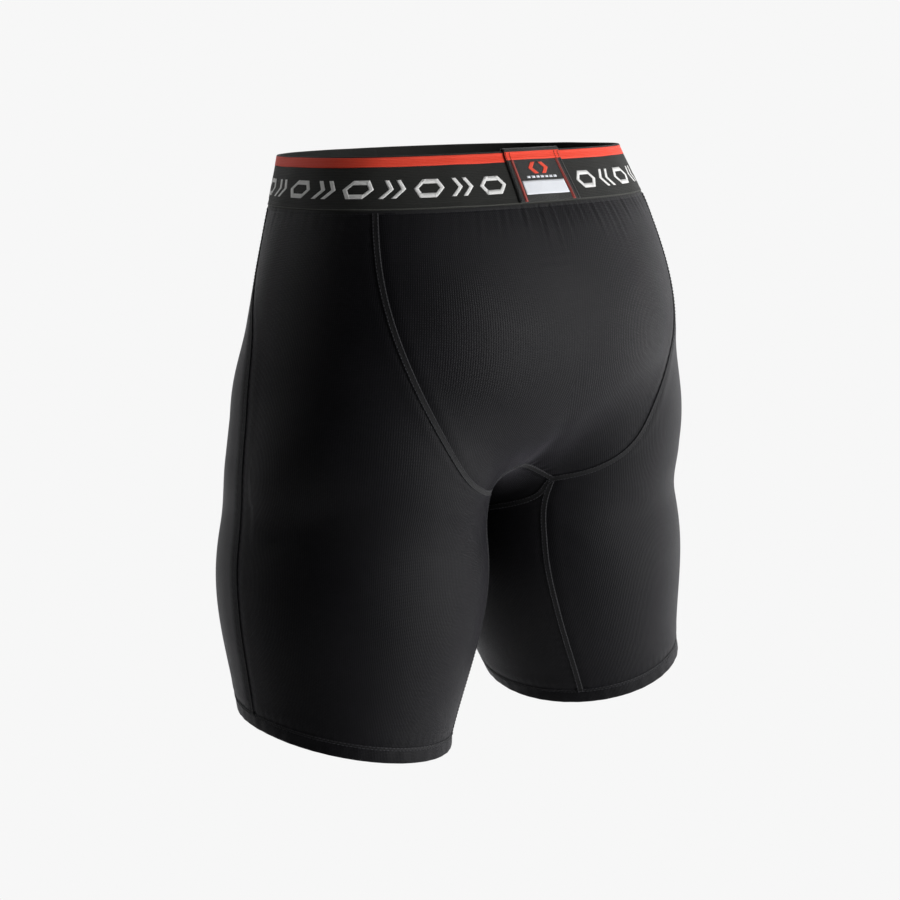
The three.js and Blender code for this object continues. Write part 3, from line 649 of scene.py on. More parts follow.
def joined(first, second, part):
    """Two boundaries end to end: the first takes the given part of the way."""
    def place(t):
        t = np.asarray(t, float)
        early = t < part
        a = first(np.where(early, t / part, 1))
        b = second(np.where(early, 0, (t - part) / (1 - part)))
        return np.where(early[..., None], a, b)
    return place


def to_middle(p, column):
    """Puts one column of a grid exactly on the middle plane."""
    p[:, column, 0] = 0
    p[:, column] = settle(p[:, column])
    return p


# ---------------------------------------------------------------- materials


def linear(colour):
    """An sRGB hex colour as linear RGBA."""
    channels = [int(colour[i:i + 2], 16) / 255 for i in (1, 3, 5)]
    return [c / 12.92 if c <= 0.04045 else ((c + 0.055) / 1.055) ** 2.4 for c in channels] + [1.0]


def add(tree, kind, links=(), **settings):
    """Adds a node. settings are its properties, links its inputs: a value, or another's output."""
    node = tree.nodes.new("ShaderNode" + kind)
    for key, value in settings.items():
        setattr(node, key, value)
    for key, value in dict(links).items():
        if isinstance(value, bpy.types.NodeSocket):
            tree.links.new(value, node.inputs[key])
        else:
            node.inputs[key].default_value = value
    return node


def new_material(name):
    material = bpy.data.materials.new(name)
    material.use_nodes = True
    material.node_tree.nodes.clear()
    return material, material.node_tree


def finish_with(tree, shader):
    add(tree, "OutputMaterial", {"Surface": shader.outputs[0]})


WAVES_PER_UNIT = 3.2


def yarn_rows(tree, place, pitch, direction, unevenness):
    """Rows of yarn, pitch millimetres apart, that stand upright (X) or run level (Y)."""
    wave = add(tree, "TexWave", {"Vector": place, "Scale": 1 / pitch / WAVES_PER_UNIT, **unevenness},
               wave_type="BANDS", bands_direction=direction)
    return wave.outputs["Fac"]


def combined(tree, operation, first, second):
    """Two grey patterns added (ADD) or multiplied (MULTIPLY)."""
    return add(tree, "Math", {0: first, 1: second}, operation=operation).outputs[0]


def shade_between(tree, factor, colour, other):
    """One colour passing into another."""
    mix = add(tree, "Mix", {"Factor": factor, 6: linear(colour), 7: linear(other)}, data_type="RGBA")
    return mix.outputs[2]


def finish_surface(tree, colour, height, depth, strength, shine):
    """Ends a material: its colour, its bump of a depth in metres, and the sockets that make it shine."""
    bump = add(tree, "Bump", {"Strength": strength, "Distance": depth, "Height": height})
    finish_with(tree, add(tree, "BsdfPrincipled", {"Base Color": colour, "Normal": bump.outputs[0], **shine}))


def knitted_cloth(name, colour, light, wale, roughness, sheen):
    """Nylon and elastane warp knit: fine upright wales crossed by finer courses, with a soft
    satin sheen where it turns away. The wales are drawn about twice as coarse as real ones."""
    material, tree = new_material(name)
    place = add(tree, "UVMap", uv_map="cloth_mm").outputs[0]
    wales = yarn_rows(tree, place, wale, "X", {"Distortion": 1.6, "Detail": 2.0, "Detail Scale": 0.6})
    courses = yarn_rows(tree, place, wale * 0.8, "Y", {"Distortion": 1.0, "Detail": 1.0})
    fuzz = add(tree, "TexNoise", {"Vector": place, "Scale": 0.9, "Detail": 4.0}).outputs["Fac"]
    patchy = add(tree, "TexNoise", {"Vector": place, "Scale": 0.03, "Detail": 3.0}).outputs["Fac"]
    knit = combined(tree, "MULTIPLY", wales, courses)
    height = combined(tree, "ADD", knit, fuzz)
    tone = add(tree, "MapRange", {"Value": knit, "From Min": 0.0, "From Max": 0.8,
                                  "To Min": 0.0, "To Max": 1.3}).outputs[0]
    rough = add(tree, "MapRange", {"Value": patchy, "To Min": roughness - 0.06,
                                   "To Max": roughness + 0.08}).outputs[0]
    mix = shade_between(tree, combined(tree, "MULTIPLY", tone, patchy), colour, light)
    finish_surface(tree, mix, height, 0.0004, 0.5, {
        "Roughness": rough, "Specular IOR Level": 0.13, "Sheen Weight": sheen,
        "Sheen Roughness": 0.35, "Sheen Tint": linear("#e6e2f0"),
    })
    return material


def woven_tape(name, colour, light, rib, roughness=0.75, sheen=0.1):
    """Woven polyester over rubber threads: close ribs run round the tape, crossed by the yarn."""
    material, tree = new_material(name)
    place = add(tree, "UVMap", uv_map="cloth_mm").outputs[0]
    ribs = yarn_rows(tree, place, rib, "Y", {"Distortion": 0.3})
    yarn = yarn_rows(tree, place, rib * 0.7, "X", {"Distortion": 0.4})
    weave = combined(tree, "MULTIPLY", ribs, yarn)
    fuzz = add(tree, "TexNoise", {"Vector": place, "Scale": 0.6, "Detail": 5.0}).outputs["Fac"]
    mix = shade_between(tree, combined(tree, "MULTIPLY", weave, fuzz), colour, light)
    finish_surface(tree, mix, weave, 0.0004, 0.5, {
        "Roughness": roughness, "Specular IOR Level": 0.35, "Sheen Weight": sheen, "Sheen Roughness": 0.4,
    })
    return material


def spun_thread(name, colour, light):
    """Textured polyester sewing thread: matt, twisted, a little lighter on its crowns."""
    material, tree = new_material(name)
    place = add(tree, "TexCoord").outputs["Object"]
    twist = add(tree, "TexNoise", {"Vector": place, "Scale": 900.0, "Detail": 3.0}).outputs["Fac"]
    mix = shade_between(tree, twist, colour, light)
    finish_surface(tree, mix, twist, 0.0003, 0.5, {
        "Roughness": 0.7, "Specular IOR Level": 0.3, "Sheen Weight": 0.15, "Sheen Roughness": 0.4,
    })
    return material


def closed_cell_foam(name, colour, dark):
    """Moulded closed-cell foam: matt, with fine open pores on its cut faces."""
    material, tree = new_material(name)
    place = add(tree, "TexCoord").outputs["Object"]
    pores = add(tree, "TexVoronoi", {"Vector": place, "Scale": 700.0}).outputs["Distance"]
    mottle = add(tree, "TexNoise", {"Vector": place, "Scale": 60.0, "Detail": 4.0}).outputs["Fac"]
    mix = shade_between(tree, combined(tree, "MULTIPLY", pores, mottle), colour, dark)
    finish_surface(tree, mix, pores, 0.0003, 0.4, {"Roughness": 0.85, "Specular IOR Level": 0.3})
    return material


def power_mesh(name, colour, light, pitch):
    """Warp-knit mesh lining: rows of small round holes in a soft dark cloth, drawn as dimples."""
    material, tree = new_material(name)
    place = add(tree, "UVMap", uv_map="cloth_mm").outputs[0]
    holes = add(tree, "TexVoronoi", {"Vector": place, "Scale": 1 / pitch, "Randomness": 0.12})
    edge = add(tree, "MapRange", {"Value": holes.outputs["Distance"], "From Min": 0.18,
                                  "From Max": 0.34}).outputs[0]
    mix = shade_between(tree, edge, colour, light)
    finish_surface(tree, mix, edge, 0.0005, 0.7, {
        "Roughness": 0.8, "Specular IOR Level": 0.3, "Sheen Weight": 0.2, "Sheen Roughness": 0.4,
    })
    return material


CLOTHS = {
    "knit": knitted_cloth("nylon_elastane_knit", "#08080b", "#17161b", 1.3, 0.5, 0.14),
    "elastic": woven_tape("woven_elastic_black", "#11120f", "#282924", 1.0),
    "stripe": woven_tape("woven_stripe_orange_red", "#e83a20", "#ff6a4a", 1.0, 0.65),
    "white": woven_tape("woven_motif_white", "#e6e6e4", "#fcfcfa", 0.8, 0.7),
    "satin": woven_tape("satin_label_black", "#121312", "#20221f", 0.5, 0.5, 0.2),
    "print": woven_tape("label_write_strip", "#e6e9ef", "#fbfcff", 0.5, 0.55, 0.0),
    "emblem": woven_tape("label_emblem_orange_red", "#e8442a", "#ff7450", 0.5, 0.6),
    "border": woven_tape("label_edge_cord_red", "#8c2a24", "#e07a6a", 0.7, 0.6),
    "edge": woven_tape("grey_line_at_band_foot", "#3a3b37", "#6a6b66", 0.6),
    "thread": spun_thread("flatlock_thread_black", "#050507", "#111114"),
    "stitch": spun_thread("needle_thread_charcoal", "#17171a", "#3c3c42"),
    "foam": closed_cell_foam("moulded_foam_grey", "#5a5e63", "#2c2f33"),
    "mesh": power_mesh("power_mesh_black", "#050506", "#1b1b1e", 1.6),
}


def settle_piece(piece, cloth, slot, *nodes):
    """Gives a piece its finish and its place in the frame."""
    piece.data.materials.append(CLOTHS[cloth])
    if cloth == "thread":
        piece.data.materials.append(CLOTHS["stitch"])
    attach(piece, "root")
    if nodes:
        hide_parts(*nodes)
    return piece


SIDES = {"left": 1, "right": -1}

# ---------------------------------------------------------------- shell panels


def seat_grid():
    side = on_seat_seam(TOP)
    apex = [float(back_rise(GUSSET_BACK)[0]), GUSSET_BACK]
    p, uv = patch(side, on_route(back_rise, TOP, GUSSET_BACK),
                  line(side(np.array(0.0)), [float(back_rise(TOP)[0]), TOP]),
                  line(inner_corner, apex), 110, 110)
    p = to_middle(p, -1)
    return p, uv, puckers(p, ["left", "bottom"])


def outer_leg_grid():
    ahead = on_route(front_seam, TOP, BOTTOM)
    behind = joined(on_seat_seam(TOP), on_route(inseam, inner_corner[1], BOTTOM), 0.6)
    top, bottom = (line(ahead(np.array(t)), behind(np.array(t))) for t in (0.0, 1.0))
    p, uv = patch(ahead, behind, top, bottom, 170, 100)
    return p, uv, puckers(p, ["left", "right", "bottom"])


def front_leg_grids():
    wide, narrow = 110, 28
    low = low_stop[1]

    def back_edge(v):
        return inseam(v) - 360

    def inner_line(v):
        return np.full(len(v), float(low_stop[0]))

    grids = [
        (ruled(TOP, GUSSET_FRONT, pouch_seam, front_seam, 80, wide), ["left", "right"]),
        (ruled(GUSSET_FRONT, low, gusset_ahead, front_seam, 18, wide), ["left", "right"]),
        (ruled(inner_corner[1], low, back_edge, gusset_behind, 12, narrow), ["left", "right"]),
        (ruled(low, BOTTOM, inner_line, front_seam, 70, wide), ["right", "bottom"]),
        (ruled(low, BOTTOM, back_edge, inner_line, 70, narrow), ["left", "bottom"]),
    ]
    return [(p, uv, puckers(p, sides)) for (p, uv), sides in grids]


def pouch_grid(top, inset, rows, columns):
    def middle(v):
        return rise(v, -1)[0]

    def edge(v):
        return angle_across(v, pouch_half_width(v) - inset)

    p, uv = ruled(top, GUSSET_FRONT - share(inset), middle, edge, rows, columns)
    return to_middle(p, 0), uv


def middle_line(v0, v1, side, count):
    return rise(np.linspace(v0, v1, count), side)[1]


low_v = low_stop[1]
behind_v = np.linspace(inner_corner[1], low_v, 30)
ahead_v = np.linspace(low_v, GUSSET_FRONT, 50)
gusset_side_path = np.vstack([skin(gusset_behind(behind_v), behind_v),
                              skin(gusset_ahead(ahead_v), ahead_v)[1:]])
gusset_apex = np.array([float(back_rise(GUSSET_BACK)[0]), GUSSET_BACK])
back_places = line(inner_corner, gusset_apex)(np.linspace(0, 1, 24))
gusset_back_path = skin(back_places[:, 0], back_places[:, 1])
gusset_back_path[-1] = rise(GUSSET_BACK, 1)[1][0]


def gusset_grid():
    count = 84
    spine = even(np.vstack([middle_line(GUSSET_BACK, CROTCH - 0.0005, 1, 60),
                            middle_line(CROTCH - 0.0005, GUSSET_FRONT, -1, 60)]), count=count)
    edge = even(np.vstack([gusset_back_path[::-1], gusset_side_path[1:]]), count=count)
    part = np.linspace(0, 1, 22)[None, :, None]
    p = spine[:, None] * (1 - part) + edge[:, None] * part
    p[:, 0, 0] = 0
    p = settle(p)
    uv = np.stack([run_length(p, 1), run_length(p, 0)], -1)
    return p, uv, puckers(p, ["right"])


def panel(name, blocks, sides=(1, -1)):
    """A shell panel of grids (skin points, cloth coordinates, how far the cloth is drawn in)."""
    piece = Piece(name)
    for p, uv, draw in blocks:
        for side in sides:
            piece.grid(p, uv, draw, draw - CLOTH, side)
    return settle_piece(piece.mesh(), "knit", "knit", name)


outer_blocks = [outer_leg_grid()]
front_blocks = front_leg_grids()
pouch_p, pouch_uv = pouch_grid(TOP, 0, 80, 26)

seat = panel("seat_panel", [seat_grid()])
pouch = panel("front_pouch", [(pouch_p, pouch_uv, puckers(pouch_p, ["right"]))])
gusset = panel("crotch_gusset", [gusset_grid()])
outer_legs = [panel(f"outer_leg_panel_{name}", outer_blocks, (side,)) for name, side in SIDES.items()]
front_legs = [panel(f"front_leg_panel_{name}", front_blocks, (side,)) for name, side in SIDES.items()]

# ---------------------------------------------------------------- flatlock seams


def path_frame(path):
    """Outward normals and the directions across a path of skin points."""
    along = np.gradient(path, axis=0)
    along /= np.linalg.norm(along, axis=1, keepdims=True)
    normal = outward(path)
    return normal, np.cross(normal, along)


def seam_frame(path):
    """The same, with across mitred where the path ends on the middle plane."""
    normal, across = path_frame(path)
    across /= np.linalg.norm(across, axis=1, keepdims=True)
    stretch = np.ones(len(path))
    for k in (0, -1):
        if abs(path[k, 0]) < 1e-6:
            level = np.cross(normal[k], [1.0, 0, 0])
            level /= np.linalg.norm(level)
            slant = level @ across[k]
            stretch[k] = 1 / max(abs(slant), 0.5)
            across[k] = level * np.sign(slant)
    return normal, across, stretch


def stitch_row(path, across, normal, side, *sizes):
    """A row of stitches on the gathered and creased cloth, on the wearer's left or right."""
    flip = np.array([side, 1.0, 1.0])
    stand = relief(path * flip)[:, None]
    return stitches((path + normal * stand) * flip, across * flip, normal * flip, *sizes)


NEEDLE_ROW = 0.72


def flatlock_height(s, t, half):
    """Height of a flatlock seam over the cloth: needle rows with looper threads between them."""
    rows = np.zeros_like(s * t)
    for k in (-NEEDLE_ROW, -0.24, 0.24, NEEDLE_ROW):
        beat = 0.55 + 0.45 * np.abs(np.sin(np.pi * s / 2.3 + k))
        rows = np.maximum(rows, np.exp(-((t - k * half) / 0.34) ** 2) * beat)
    weave = NEEDLE_ROW * half * (2 / np.pi) * np.arcsin(np.sin(2 * np.pi * s / 2.8))
    rows = np.maximum(rows, 0.8 * np.exp(-((t - weave) / 0.38) ** 2))
    rows = np.maximum(rows, 0.8 * np.exp(-((t + weave) / 0.38) ** 2))
    edge = smooth_step(half - np.abs(t), 0, 0.5)
    return (0.22 + 0.36 * rows) * edge - 0.3 * (1 - edge)


SEAM_STITCH_PITCH, SEAM_STITCH_LENGTH, SEAM_STITCH_RADIUS = 2.6, 1.8, 0.28


def seam(name, path, sides, raised=0.0):
    """A flatlock seam along a path of skin points on the wearer's left."""
    half = SEAM_WIDTH / 2
    path = even(path, 0.65)
    normal, across, stretch = seam_frame(path)
    t = np.linspace(-half, half, 13)
    p = settle(path[:, None] + across[:, None] * (t[None, :, None] * stretch[:, None, None]))
    s = run_length(path[:, None], 0)
    high = flatlock_height(s, t[None], half)
    uv = np.stack([np.broadcast_to(t, high.shape), np.broadcast_to(s, high.shape)], -1)
    piece = Piece(name)
    for side in sides:
        piece.grid(p, uv, high + raised, -CLOTH - high * 0.6, side)
        for row in (-NEEDLE_ROW, NEEDLE_ROW):
            piece.loose.append(stitch_row(path, across, normal, side, row * half, 0.52 + raised,
                                          SEAM_STITCH_PITCH, SEAM_STITCH_LENGTH, SEAM_STITCH_RADIUS))
    settle_piece(piece.mesh(), "thread", "thread", name)


seat_run = seat_seam(np.linspace(seat_t(TOP), 1, 300))
seat_path = np.vstack([skin(seat_run[:, 0], seat_run[:, 1]), gusset_back_path[1:]])


def route_path(angle_at, start, end, count=260):
    v = np.linspace(start, end, count)
    return skin(angle_at(v), v)


front_path = route_path(front_seam, TOP, BOTTOM)
inseam_path = route_path(inseam, inner_corner[1] + share(1.5), BOTTOM)
pouch_path = route_path(pouch_seam, TOP, GUSSET_FRONT)
toe_angles = np.linspace(front_corner[0], float(rise(GUSSET_FRONT, -1)[0][0]), 12)
toe_path = skin(toe_angles, GUSSET_FRONT)
toe_path[-1] = rise(GUSSET_FRONT, -1)[1][0]

seam("seat_seam", seat_path, (1, -1), raised=0.12)
seam("gusset_front_seam", toe_path, (1, -1), raised=0.12)
for name, side in SIDES.items():
    seam(f"front_seam_{name}", front_path, (side,))
    seam(f"inseam_{name}", inseam_path, (side,), raised=0.05)
    seam(f"pouch_seam_{name}", pouch_path, (side,), raised=0.06)
    seam(f"gusset_seam_{name}", gusset_side_path, (side,))

# ---------------------------------------------------------------- waistband

MID_BAND = BAND_END / 2
girth_q = np.linspace(0, 1, 500)
band_back, band_front = float(back_rise(MID_BAND)[0]), float(rise(MID_BAND, -1)[0][0])
girth_s = run_length(skin(band_back + (band_front - band_back) * girth_q, MID_BAND)[:, None], 0)[:, 0]
HALF_GIRTH = girth_s[-1]
waist_shares = np.linspace(0, TOP + share(6), 40)
back_angles, front_angles = rise(waist_shares, 1)[0], rise(waist_shares, -1)[0]


def waist_skin(s, depth):
    """Skin points s millimetres round from the centre back (+ is the wearer's left), and depth down."""
    s, depth = np.broadcast_arrays(np.asarray(s, float), np.asarray(depth, float))
    q = np.interp(np.abs(s), girth_s, girth_q)
    v = share(depth)
    back, front = np.interp(v, waist_shares, back_angles), np.interp(v, waist_shares, front_angles)
    p = skin(back + (front - back) * q, v)
    ends = (np.abs(s) < 1e-9) | (np.abs(np.abs(s) - HALF_GIRTH) < 1e-9)
    p[..., 0] = np.where(ends, 0, p[..., 0])
    p[ends] = settle(p[ends])
    return p


def band_wave(s):
    """The elastic's slow ripple round the waist."""
    return 0.18 * np.sin(s / 9.5) + 0.12 * np.sin(s / 5.3 + 1)


def tape(name, cells, lift, cloth, slot, thickness=0.25, spacing=1.2):
    """Woven patches on the band: cells are four (s, depth) corners each."""
    piece = Piece(name)
    for corners in cells:
        a, b, c, d = np.array(corners, float)
        rows = max(2, int(max(np.linalg.norm(b - a), np.linalg.norm(c - d)) / spacing))
        columns = max(2, int(max(np.linalg.norm(d - a), np.linalg.norm(c - b)) / spacing))
        t = np.linspace(0, 1, rows + 1)[:, None, None]
        u = np.linspace(0, 1, columns + 1)[None, :, None]
        place = (a * (1 - t) + b * t) * (1 - u) + (d * (1 - t) + c * t) * u
        s, depth = place[..., 0], place[..., 1]
        for side in (1, -1):
            here = s * side > 1e-9
            columns_here = here.any(0)
            if not columns_here.any():
                continue
            first = np.argmax(columns_here)
            last = len(columns_here) - np.argmax(columns_here[::-1])
            first = max(first - 1, 0) if side > 0 else first
            last = min(last + 1, len(columns_here)) if side < 0 else last
            block = np.clip(s[:, first:last] * side, 0, HALF_GIRTH)
            p = waist_skin(block, depth[:, first:last])
            uv = np.stack([s[:, first:last], -depth[:, first:last]], -1)
            top = BAND_PROUD + lift + band_wave(s[:, first:last])
            piece.grid(p, uv, top, top - thickness, side, lie=False)
    settle_piece(piece.mesh(), cloth, slot)


def band_piece():
    """The elastic band: a flat tape with rounded edges."""
    half = BAND_THICKNESS / 2
    depth = np.concatenate([[0, 0.15, 0.5, 1.0], np.arange(2, BAND_HEIGHT - 1.5, 1.0),
                            [BAND_HEIGHT - 1.0, BAND_HEIGHT - 0.5, BAND_HEIGHT - 0.15, BAND_HEIGHT]])
    edge = np.minimum(depth, BAND_HEIGHT - depth)
    bulge = half * np.sqrt(np.clip(1 - (1 - np.clip(edge, 0, 1.0)) ** 2, 0, 1))
    bulge = np.maximum(bulge, 0.05)
    groove_depth = BAND_HEIGHT - 3.5
    groove = np.where(np.abs(depth - groove_depth) < 0.6, -0.15, 0)
    s = np.linspace(0, HALF_GIRTH, 380)
    grid_s, grid_d = np.meshgrid(s, depth)
    p = waist_skin(grid_s, grid_d)
    piece = Piece("waistband_elastic")
    for side in (1, -1):
        middle = BAND_PROUD - half + band_wave(grid_s * side)
        uv = np.stack([grid_s * side, -grid_d], -1)
        piece.grid(p, uv, middle + (bulge + groove)[:, None], middle - bulge[:, None], side, lie=False)
    return settle_piece(piece.mesh(), "elastic", "elastic", "waistband_elastic")


band = band_piece()
STRIPE = (0.9, 7.2)


def box_cell(s0, s1, d0, d1):
    """A four-sided cell from s0 to s1 round the waist, and from depth d0 to d1."""
    return [(s0, d0), (s0, d1), (s1, d1), (s1, d0)]


def ring_cells(d0, d1):
    """Cells that go right round the waist."""
    return [box_cell(-HALF_GIRTH, 0, d0, d1), box_cell(0, HALF_GIRTH, d0, d1)]


tape("waistband_stripe", ring_cells(*STRIPE), 0.12, "stripe", "elastic")


def motif_cells():
    """A woven repeat of long six-sided links and paired chevrons, clear of the label."""
    middle, half, stroke, slant_stroke, slope = 21.0, 5.6, 2.7, 3.2, 5.0
    link, step, gap, first = 21.0, 8.0, 5.0, 33.0
    cells = []

    def bar(x0, x1, level):
        return box_cell(x0, x1, level - stroke / 2, level + stroke / 2)

    def slant(tip, lean, down):
        return [(tip, middle), (tip + lean, middle + down * half),
                (tip + lean + slant_stroke, middle + down * half), (tip + slant_stroke, middle)]

    for turn in (1, -1):
        x = first
        while x + link + 2 * step < HALF_GIRTH:
            block = [bar(x + slope, x + link - slope, middle + down * (half - stroke / 2))
                     for down in (1, -1)]
            block += [slant(x, slope, down) for down in (1, -1)]
            block += [slant(x + link - slant_stroke, -slope, down) for down in (1, -1)]
            x += link + gap
            for _ in range(2):
                block += [slant(x, slope, down) for down in (1, -1)]
                x += step
            x += gap
            cells += [[(turn * c[0], c[1]) for c in cell] for cell in block]
    return cells


BAND_LAP = 0.6
# A thin grey line runs right round the band, just above its lower edge.
tape("waistband_edge_line", ring_cells(BAND_HEIGHT - 2 * BAND_LAP, BAND_HEIGHT - BAND_LAP),
     0.06, "edge", "elastic", spacing=0.6)
tape("waistband_motif", motif_cells(), 0.08, "white", "elastic", spacing=1.0)


def waist_seam():
    """The seam under the band: a narrow cover-stitched strip over the gathered cloth edge."""
    start = BAND_HEIGHT - BAND_LAP
    depth = np.linspace(start, start + WAIST_SEAM_WIDTH, 9)
    grid_s, grid_d = np.meshgrid(np.linspace(0, HALF_GIRTH, 620), depth)
    p = waist_skin(grid_s, grid_d)
    across = (grid_d - depth.mean()) / (WAIST_SEAM_WIDTH / 2)
    swell = 0.22 * np.sqrt(np.clip(1 - across ** 2, 0, 1)) - 0.15
    beat = 0.12 * np.abs(np.sin(np.pi * grid_s / 2.4))
    piece = Piece("waist_seam")
    for side in (1, -1):
        uv = np.stack([grid_s * side, -grid_d], -1)
        piece.grid(p, uv, swell + beat, -CLOTH - swell, side)
    settle_piece(piece.mesh(), "thread", "thread", "waist_seam")


waist_seam()

# ---------------------------------------------------------------- folded label


LABEL_GAP = 0.35
LABEL_LIFT = LABEL_GAP + LABEL_THICKNESS
EDGE = LABEL_WIDTH / 2
BORDER = EDGE - 4.2


def label_piece():
    """The label: a satin strip folded over the band's top edge."""
    middle = BAND_PROUD - BAND_THICKNESS / 2
    near = BAND_THICKNESS / 2 + LABEL_GAP
    s = np.linspace(-EDGE, EDGE, 47)
    down = np.linspace(BAND_HEIGHT - 0.8, 0.4, 34)
    turn = np.linspace(0, np.pi, 12)
    back = np.linspace(0.4, LABEL_RETURN, 14)
    sections = []
    for x in s:
        side = 1 if x >= 0 else -1
        flip = np.array([side, 1.0, 1.0])
        p = waist_skin(abs(x), np.array([0.0, 6.0]))
        n = outward(p)
        up = (p[0] - p[1]) / np.linalg.norm(p[0] - p[1])
        wave = band_wave(x)
        rings = []
        for radius in (near + LABEL_THICKNESS, near):
            leaf = waist_skin(abs(x), down)
            leaf = leaf + outward(leaf) * (middle + radius + wave)
            fold = (p[0] + n[0] * (middle + wave) + np.cos(turn)[:, None] * radius * n[0]
                    + np.sin(turn)[:, None] * radius * up)
            inside = waist_skin(abs(x), back)
            inside = inside + outward(inside) * (middle - radius + wave)
            rings.append(np.vstack([leaf, fold, inside]) * flip)
        sections.append(np.vstack([rings[0], rings[1][::-1]]))
    sections = np.array(sections)
    count, ring = sections.shape[:2]
    faces, uvs = [], []
    run = np.concatenate([[0], np.cumsum(np.linalg.norm(np.diff(sections[count // 2], axis=0), axis=1))])
    for i in range(count - 1):
        for k in range(ring):
            k2 = (k + 1) % ring
            faces.append([i * ring + k, (i + 1) * ring + k, (i + 1) * ring + k2, i * ring + k2])
            uvs += [(s[i], run[k]), (s[i + 1], run[k]), (s[i + 1], run[k2]), (s[i], run[k2])]
    leaf_points = ring // 2
    for i, flip in ((0, False), (count - 1, True)):
        for k in range(leaf_points - 1):
            quad = [i * ring + k, i * ring + k + 1, i * ring + ring - 2 - k, i * ring + ring - 1 - k]
            faces.append(quad[::-1] if flip else quad)
            uvs += [(0.0, 0.0)] * 4
    piece = make_mesh("worn_back_label", sections.reshape(-1, 3), faces, uvs)
    return settle_piece(piece, "satin", "label", "back_label")


label = label_piece()
LABEL_STRIPE = (0.3, 6.6)
tape("label_top_stripe", [box_cell(-EDGE + 0.3, EDGE - 0.3, *LABEL_STRIPE)], LABEL_LIFT + 0.1,
     "stripe", "label")
tape("label_edge_borders",
     [box_cell(sign * (BORDER - 2.4), sign * BORDER, LABEL_STRIPE[1], BAND_HEIGHT - 1.0)
      for sign in (1, -1)],
     LABEL_LIFT + 0.14, "border", "label", thickness=0.35, spacing=0.8)
tape("label_write_strip", [box_cell(-BORDER + 3.2, BORDER - 3.2, 20.2, 28.8)], LABEL_LIFT + 0.1,
     "print", "label")


def emblem_cells():
    """A plain pair of chevrons that point away from each other."""
    middle, half = 12.2, 3.7
    cells = []
    for turn in (1, -1):
        for down in (1, -1):
            end = middle + down * half
            shape = [(9.6, middle), (5.4, end), (1.4, end), (5.6, middle)]
            cells.append([(turn * x, y) for x, y in shape])
    return cells


tape("label_emblem", emblem_cells(), LABEL_LIFT + 0.1, "emblem", "label", spacing=0.8)
tape("label_rule", [box_cell(-14.4 + 4.2 * k, -11.4 + 4.2 * k, 17.2, 18.6) for k in range(7)],
     LABEL_LIFT + 0.08, "print", "label", spacing=0.8)


def label_stitches():
    """Two rows of close stitching down each edge of the label."""
    points, faces, total = [], [], 0
    for sign in (1, -1):
        depth = np.linspace(0.5, BAND_HEIGHT - 1.2, 80)
        for s, slant in ((EDGE - 1.3, 0.5), (EDGE - 5.0, 0.0)):
            path = waist_skin(s, depth)
            normal, across = path_frame(path)
            lift = BAND_PROUD + LABEL_LIFT + float(band_wave(sign * s)) + 0.2
            flip = np.array([sign, 1.0, 1.0])
            made = stitches(path * flip, across * flip, normal * flip, 0.0, lift, 1.6, 1.5, 0.22, slant)
            points.append(made[0])
            faces.append(made[1] + total)
            total += len(made[0])
    made = make_mesh("worn_label_edge_stitches", np.vstack(points), np.vstack(faces).tolist())
    settle_piece(made, "thread", "label")


label_stitches()

# ---------------------------------------------------------------- hems


def leg_ring(shares, columns):
    """A grid right round the leg, with a row at each share."""
    angle = np.linspace(-180, 180, columns + 1)[None]
    angle = np.broadcast_to(angle, (len(shares), columns + 1))
    return on_skin(angle, np.broadcast_to(np.asarray(shares)[:, None], angle.shape))


def hem(name, side):
    """A turned hem: two layers of cloth with a soft rolled edge."""
    mm = np.array([-0.5, 0, 0.7, 2, 4, 6, 7.4, 8.0, 8.5, 8.85, HEM_DEPTH])
    p, uv = leg_ring(HEM_START + share(mm), 260)
    rolled = HEM_THICKNESS / 2
    roll = np.sqrt(np.clip(1 - np.clip((mm - HEM_DEPTH + rolled) / rolled, 0, 1) ** 2, 0, 1))
    mid = -HEM_THICKNESS / 2
    swell = 0.16 * np.sin(np.pi * np.clip(mm / HEM_DEPTH, 0, 1))
    outer = mid + (HEM_THICKNESS / 2 + swell) * np.maximum(roll, 0.06)
    inner = mid - HEM_THICKNESS / 2 * np.maximum(roll, 0.06)
    inner[:2] = -CLOTH - 0.1
    turn = np.linspace(0, 2 * np.pi, 261)
    ripple = 0.10 * np.sin(turn * 47) + 0.08 * np.sin(turn * 29)
    piece = Piece(name).grid(p, uv, outer[:, None] + ripple[None], inner[:, None] + ripple[None], side)
    return settle_piece(piece.mesh(), "knit", "knit", name)


HEM_NEEDLES = (0.7, 2.4)
HEM_STITCH_PITCH, HEM_STITCH_LENGTH, HEM_STITCH_RADIUS = 3.0, 2.3, 0.26


def hem_stitch(name, side):
    """The cover stitch above a hem: a shallow channel with two needle rows."""
    mm = np.linspace(-HEM_STITCH_WIDTH, 0.2, 9)
    p, uv = leg_ring(HEM_START + share(mm), 400)
    place = (mm - mm.mean()) / (HEM_STITCH_WIDTH / 2)
    raised = 0.18 * np.cos(np.clip(place, -1, 1) * np.pi) * 0.5 - 0.12
    piece = Piece(name).grid(p, uv, raised[:, None], -CLOTH - 0.35, side)
    for offset in HEM_NEEDLES:
        path = skin(np.linspace(-180, 180, 500), HEM_START - share(offset))
        normal, across = path_frame(path)
        piece.loose.append(stitch_row(path, across, normal, side, 0.0, 0.16,
                                      HEM_STITCH_PITCH, HEM_STITCH_LENGTH, HEM_STITCH_RADIUS))
    settle_piece(piece.mesh(), "thread", "thread", name)


hems = [hem(f"leg_hem_{name}", side) for name, side in SIDES.items()]
for name, side in SIDES.items():
    hem_stitch(f"hem_stitch_{name}", side)

# ---------------------------------------------------------------- pads and their pockets

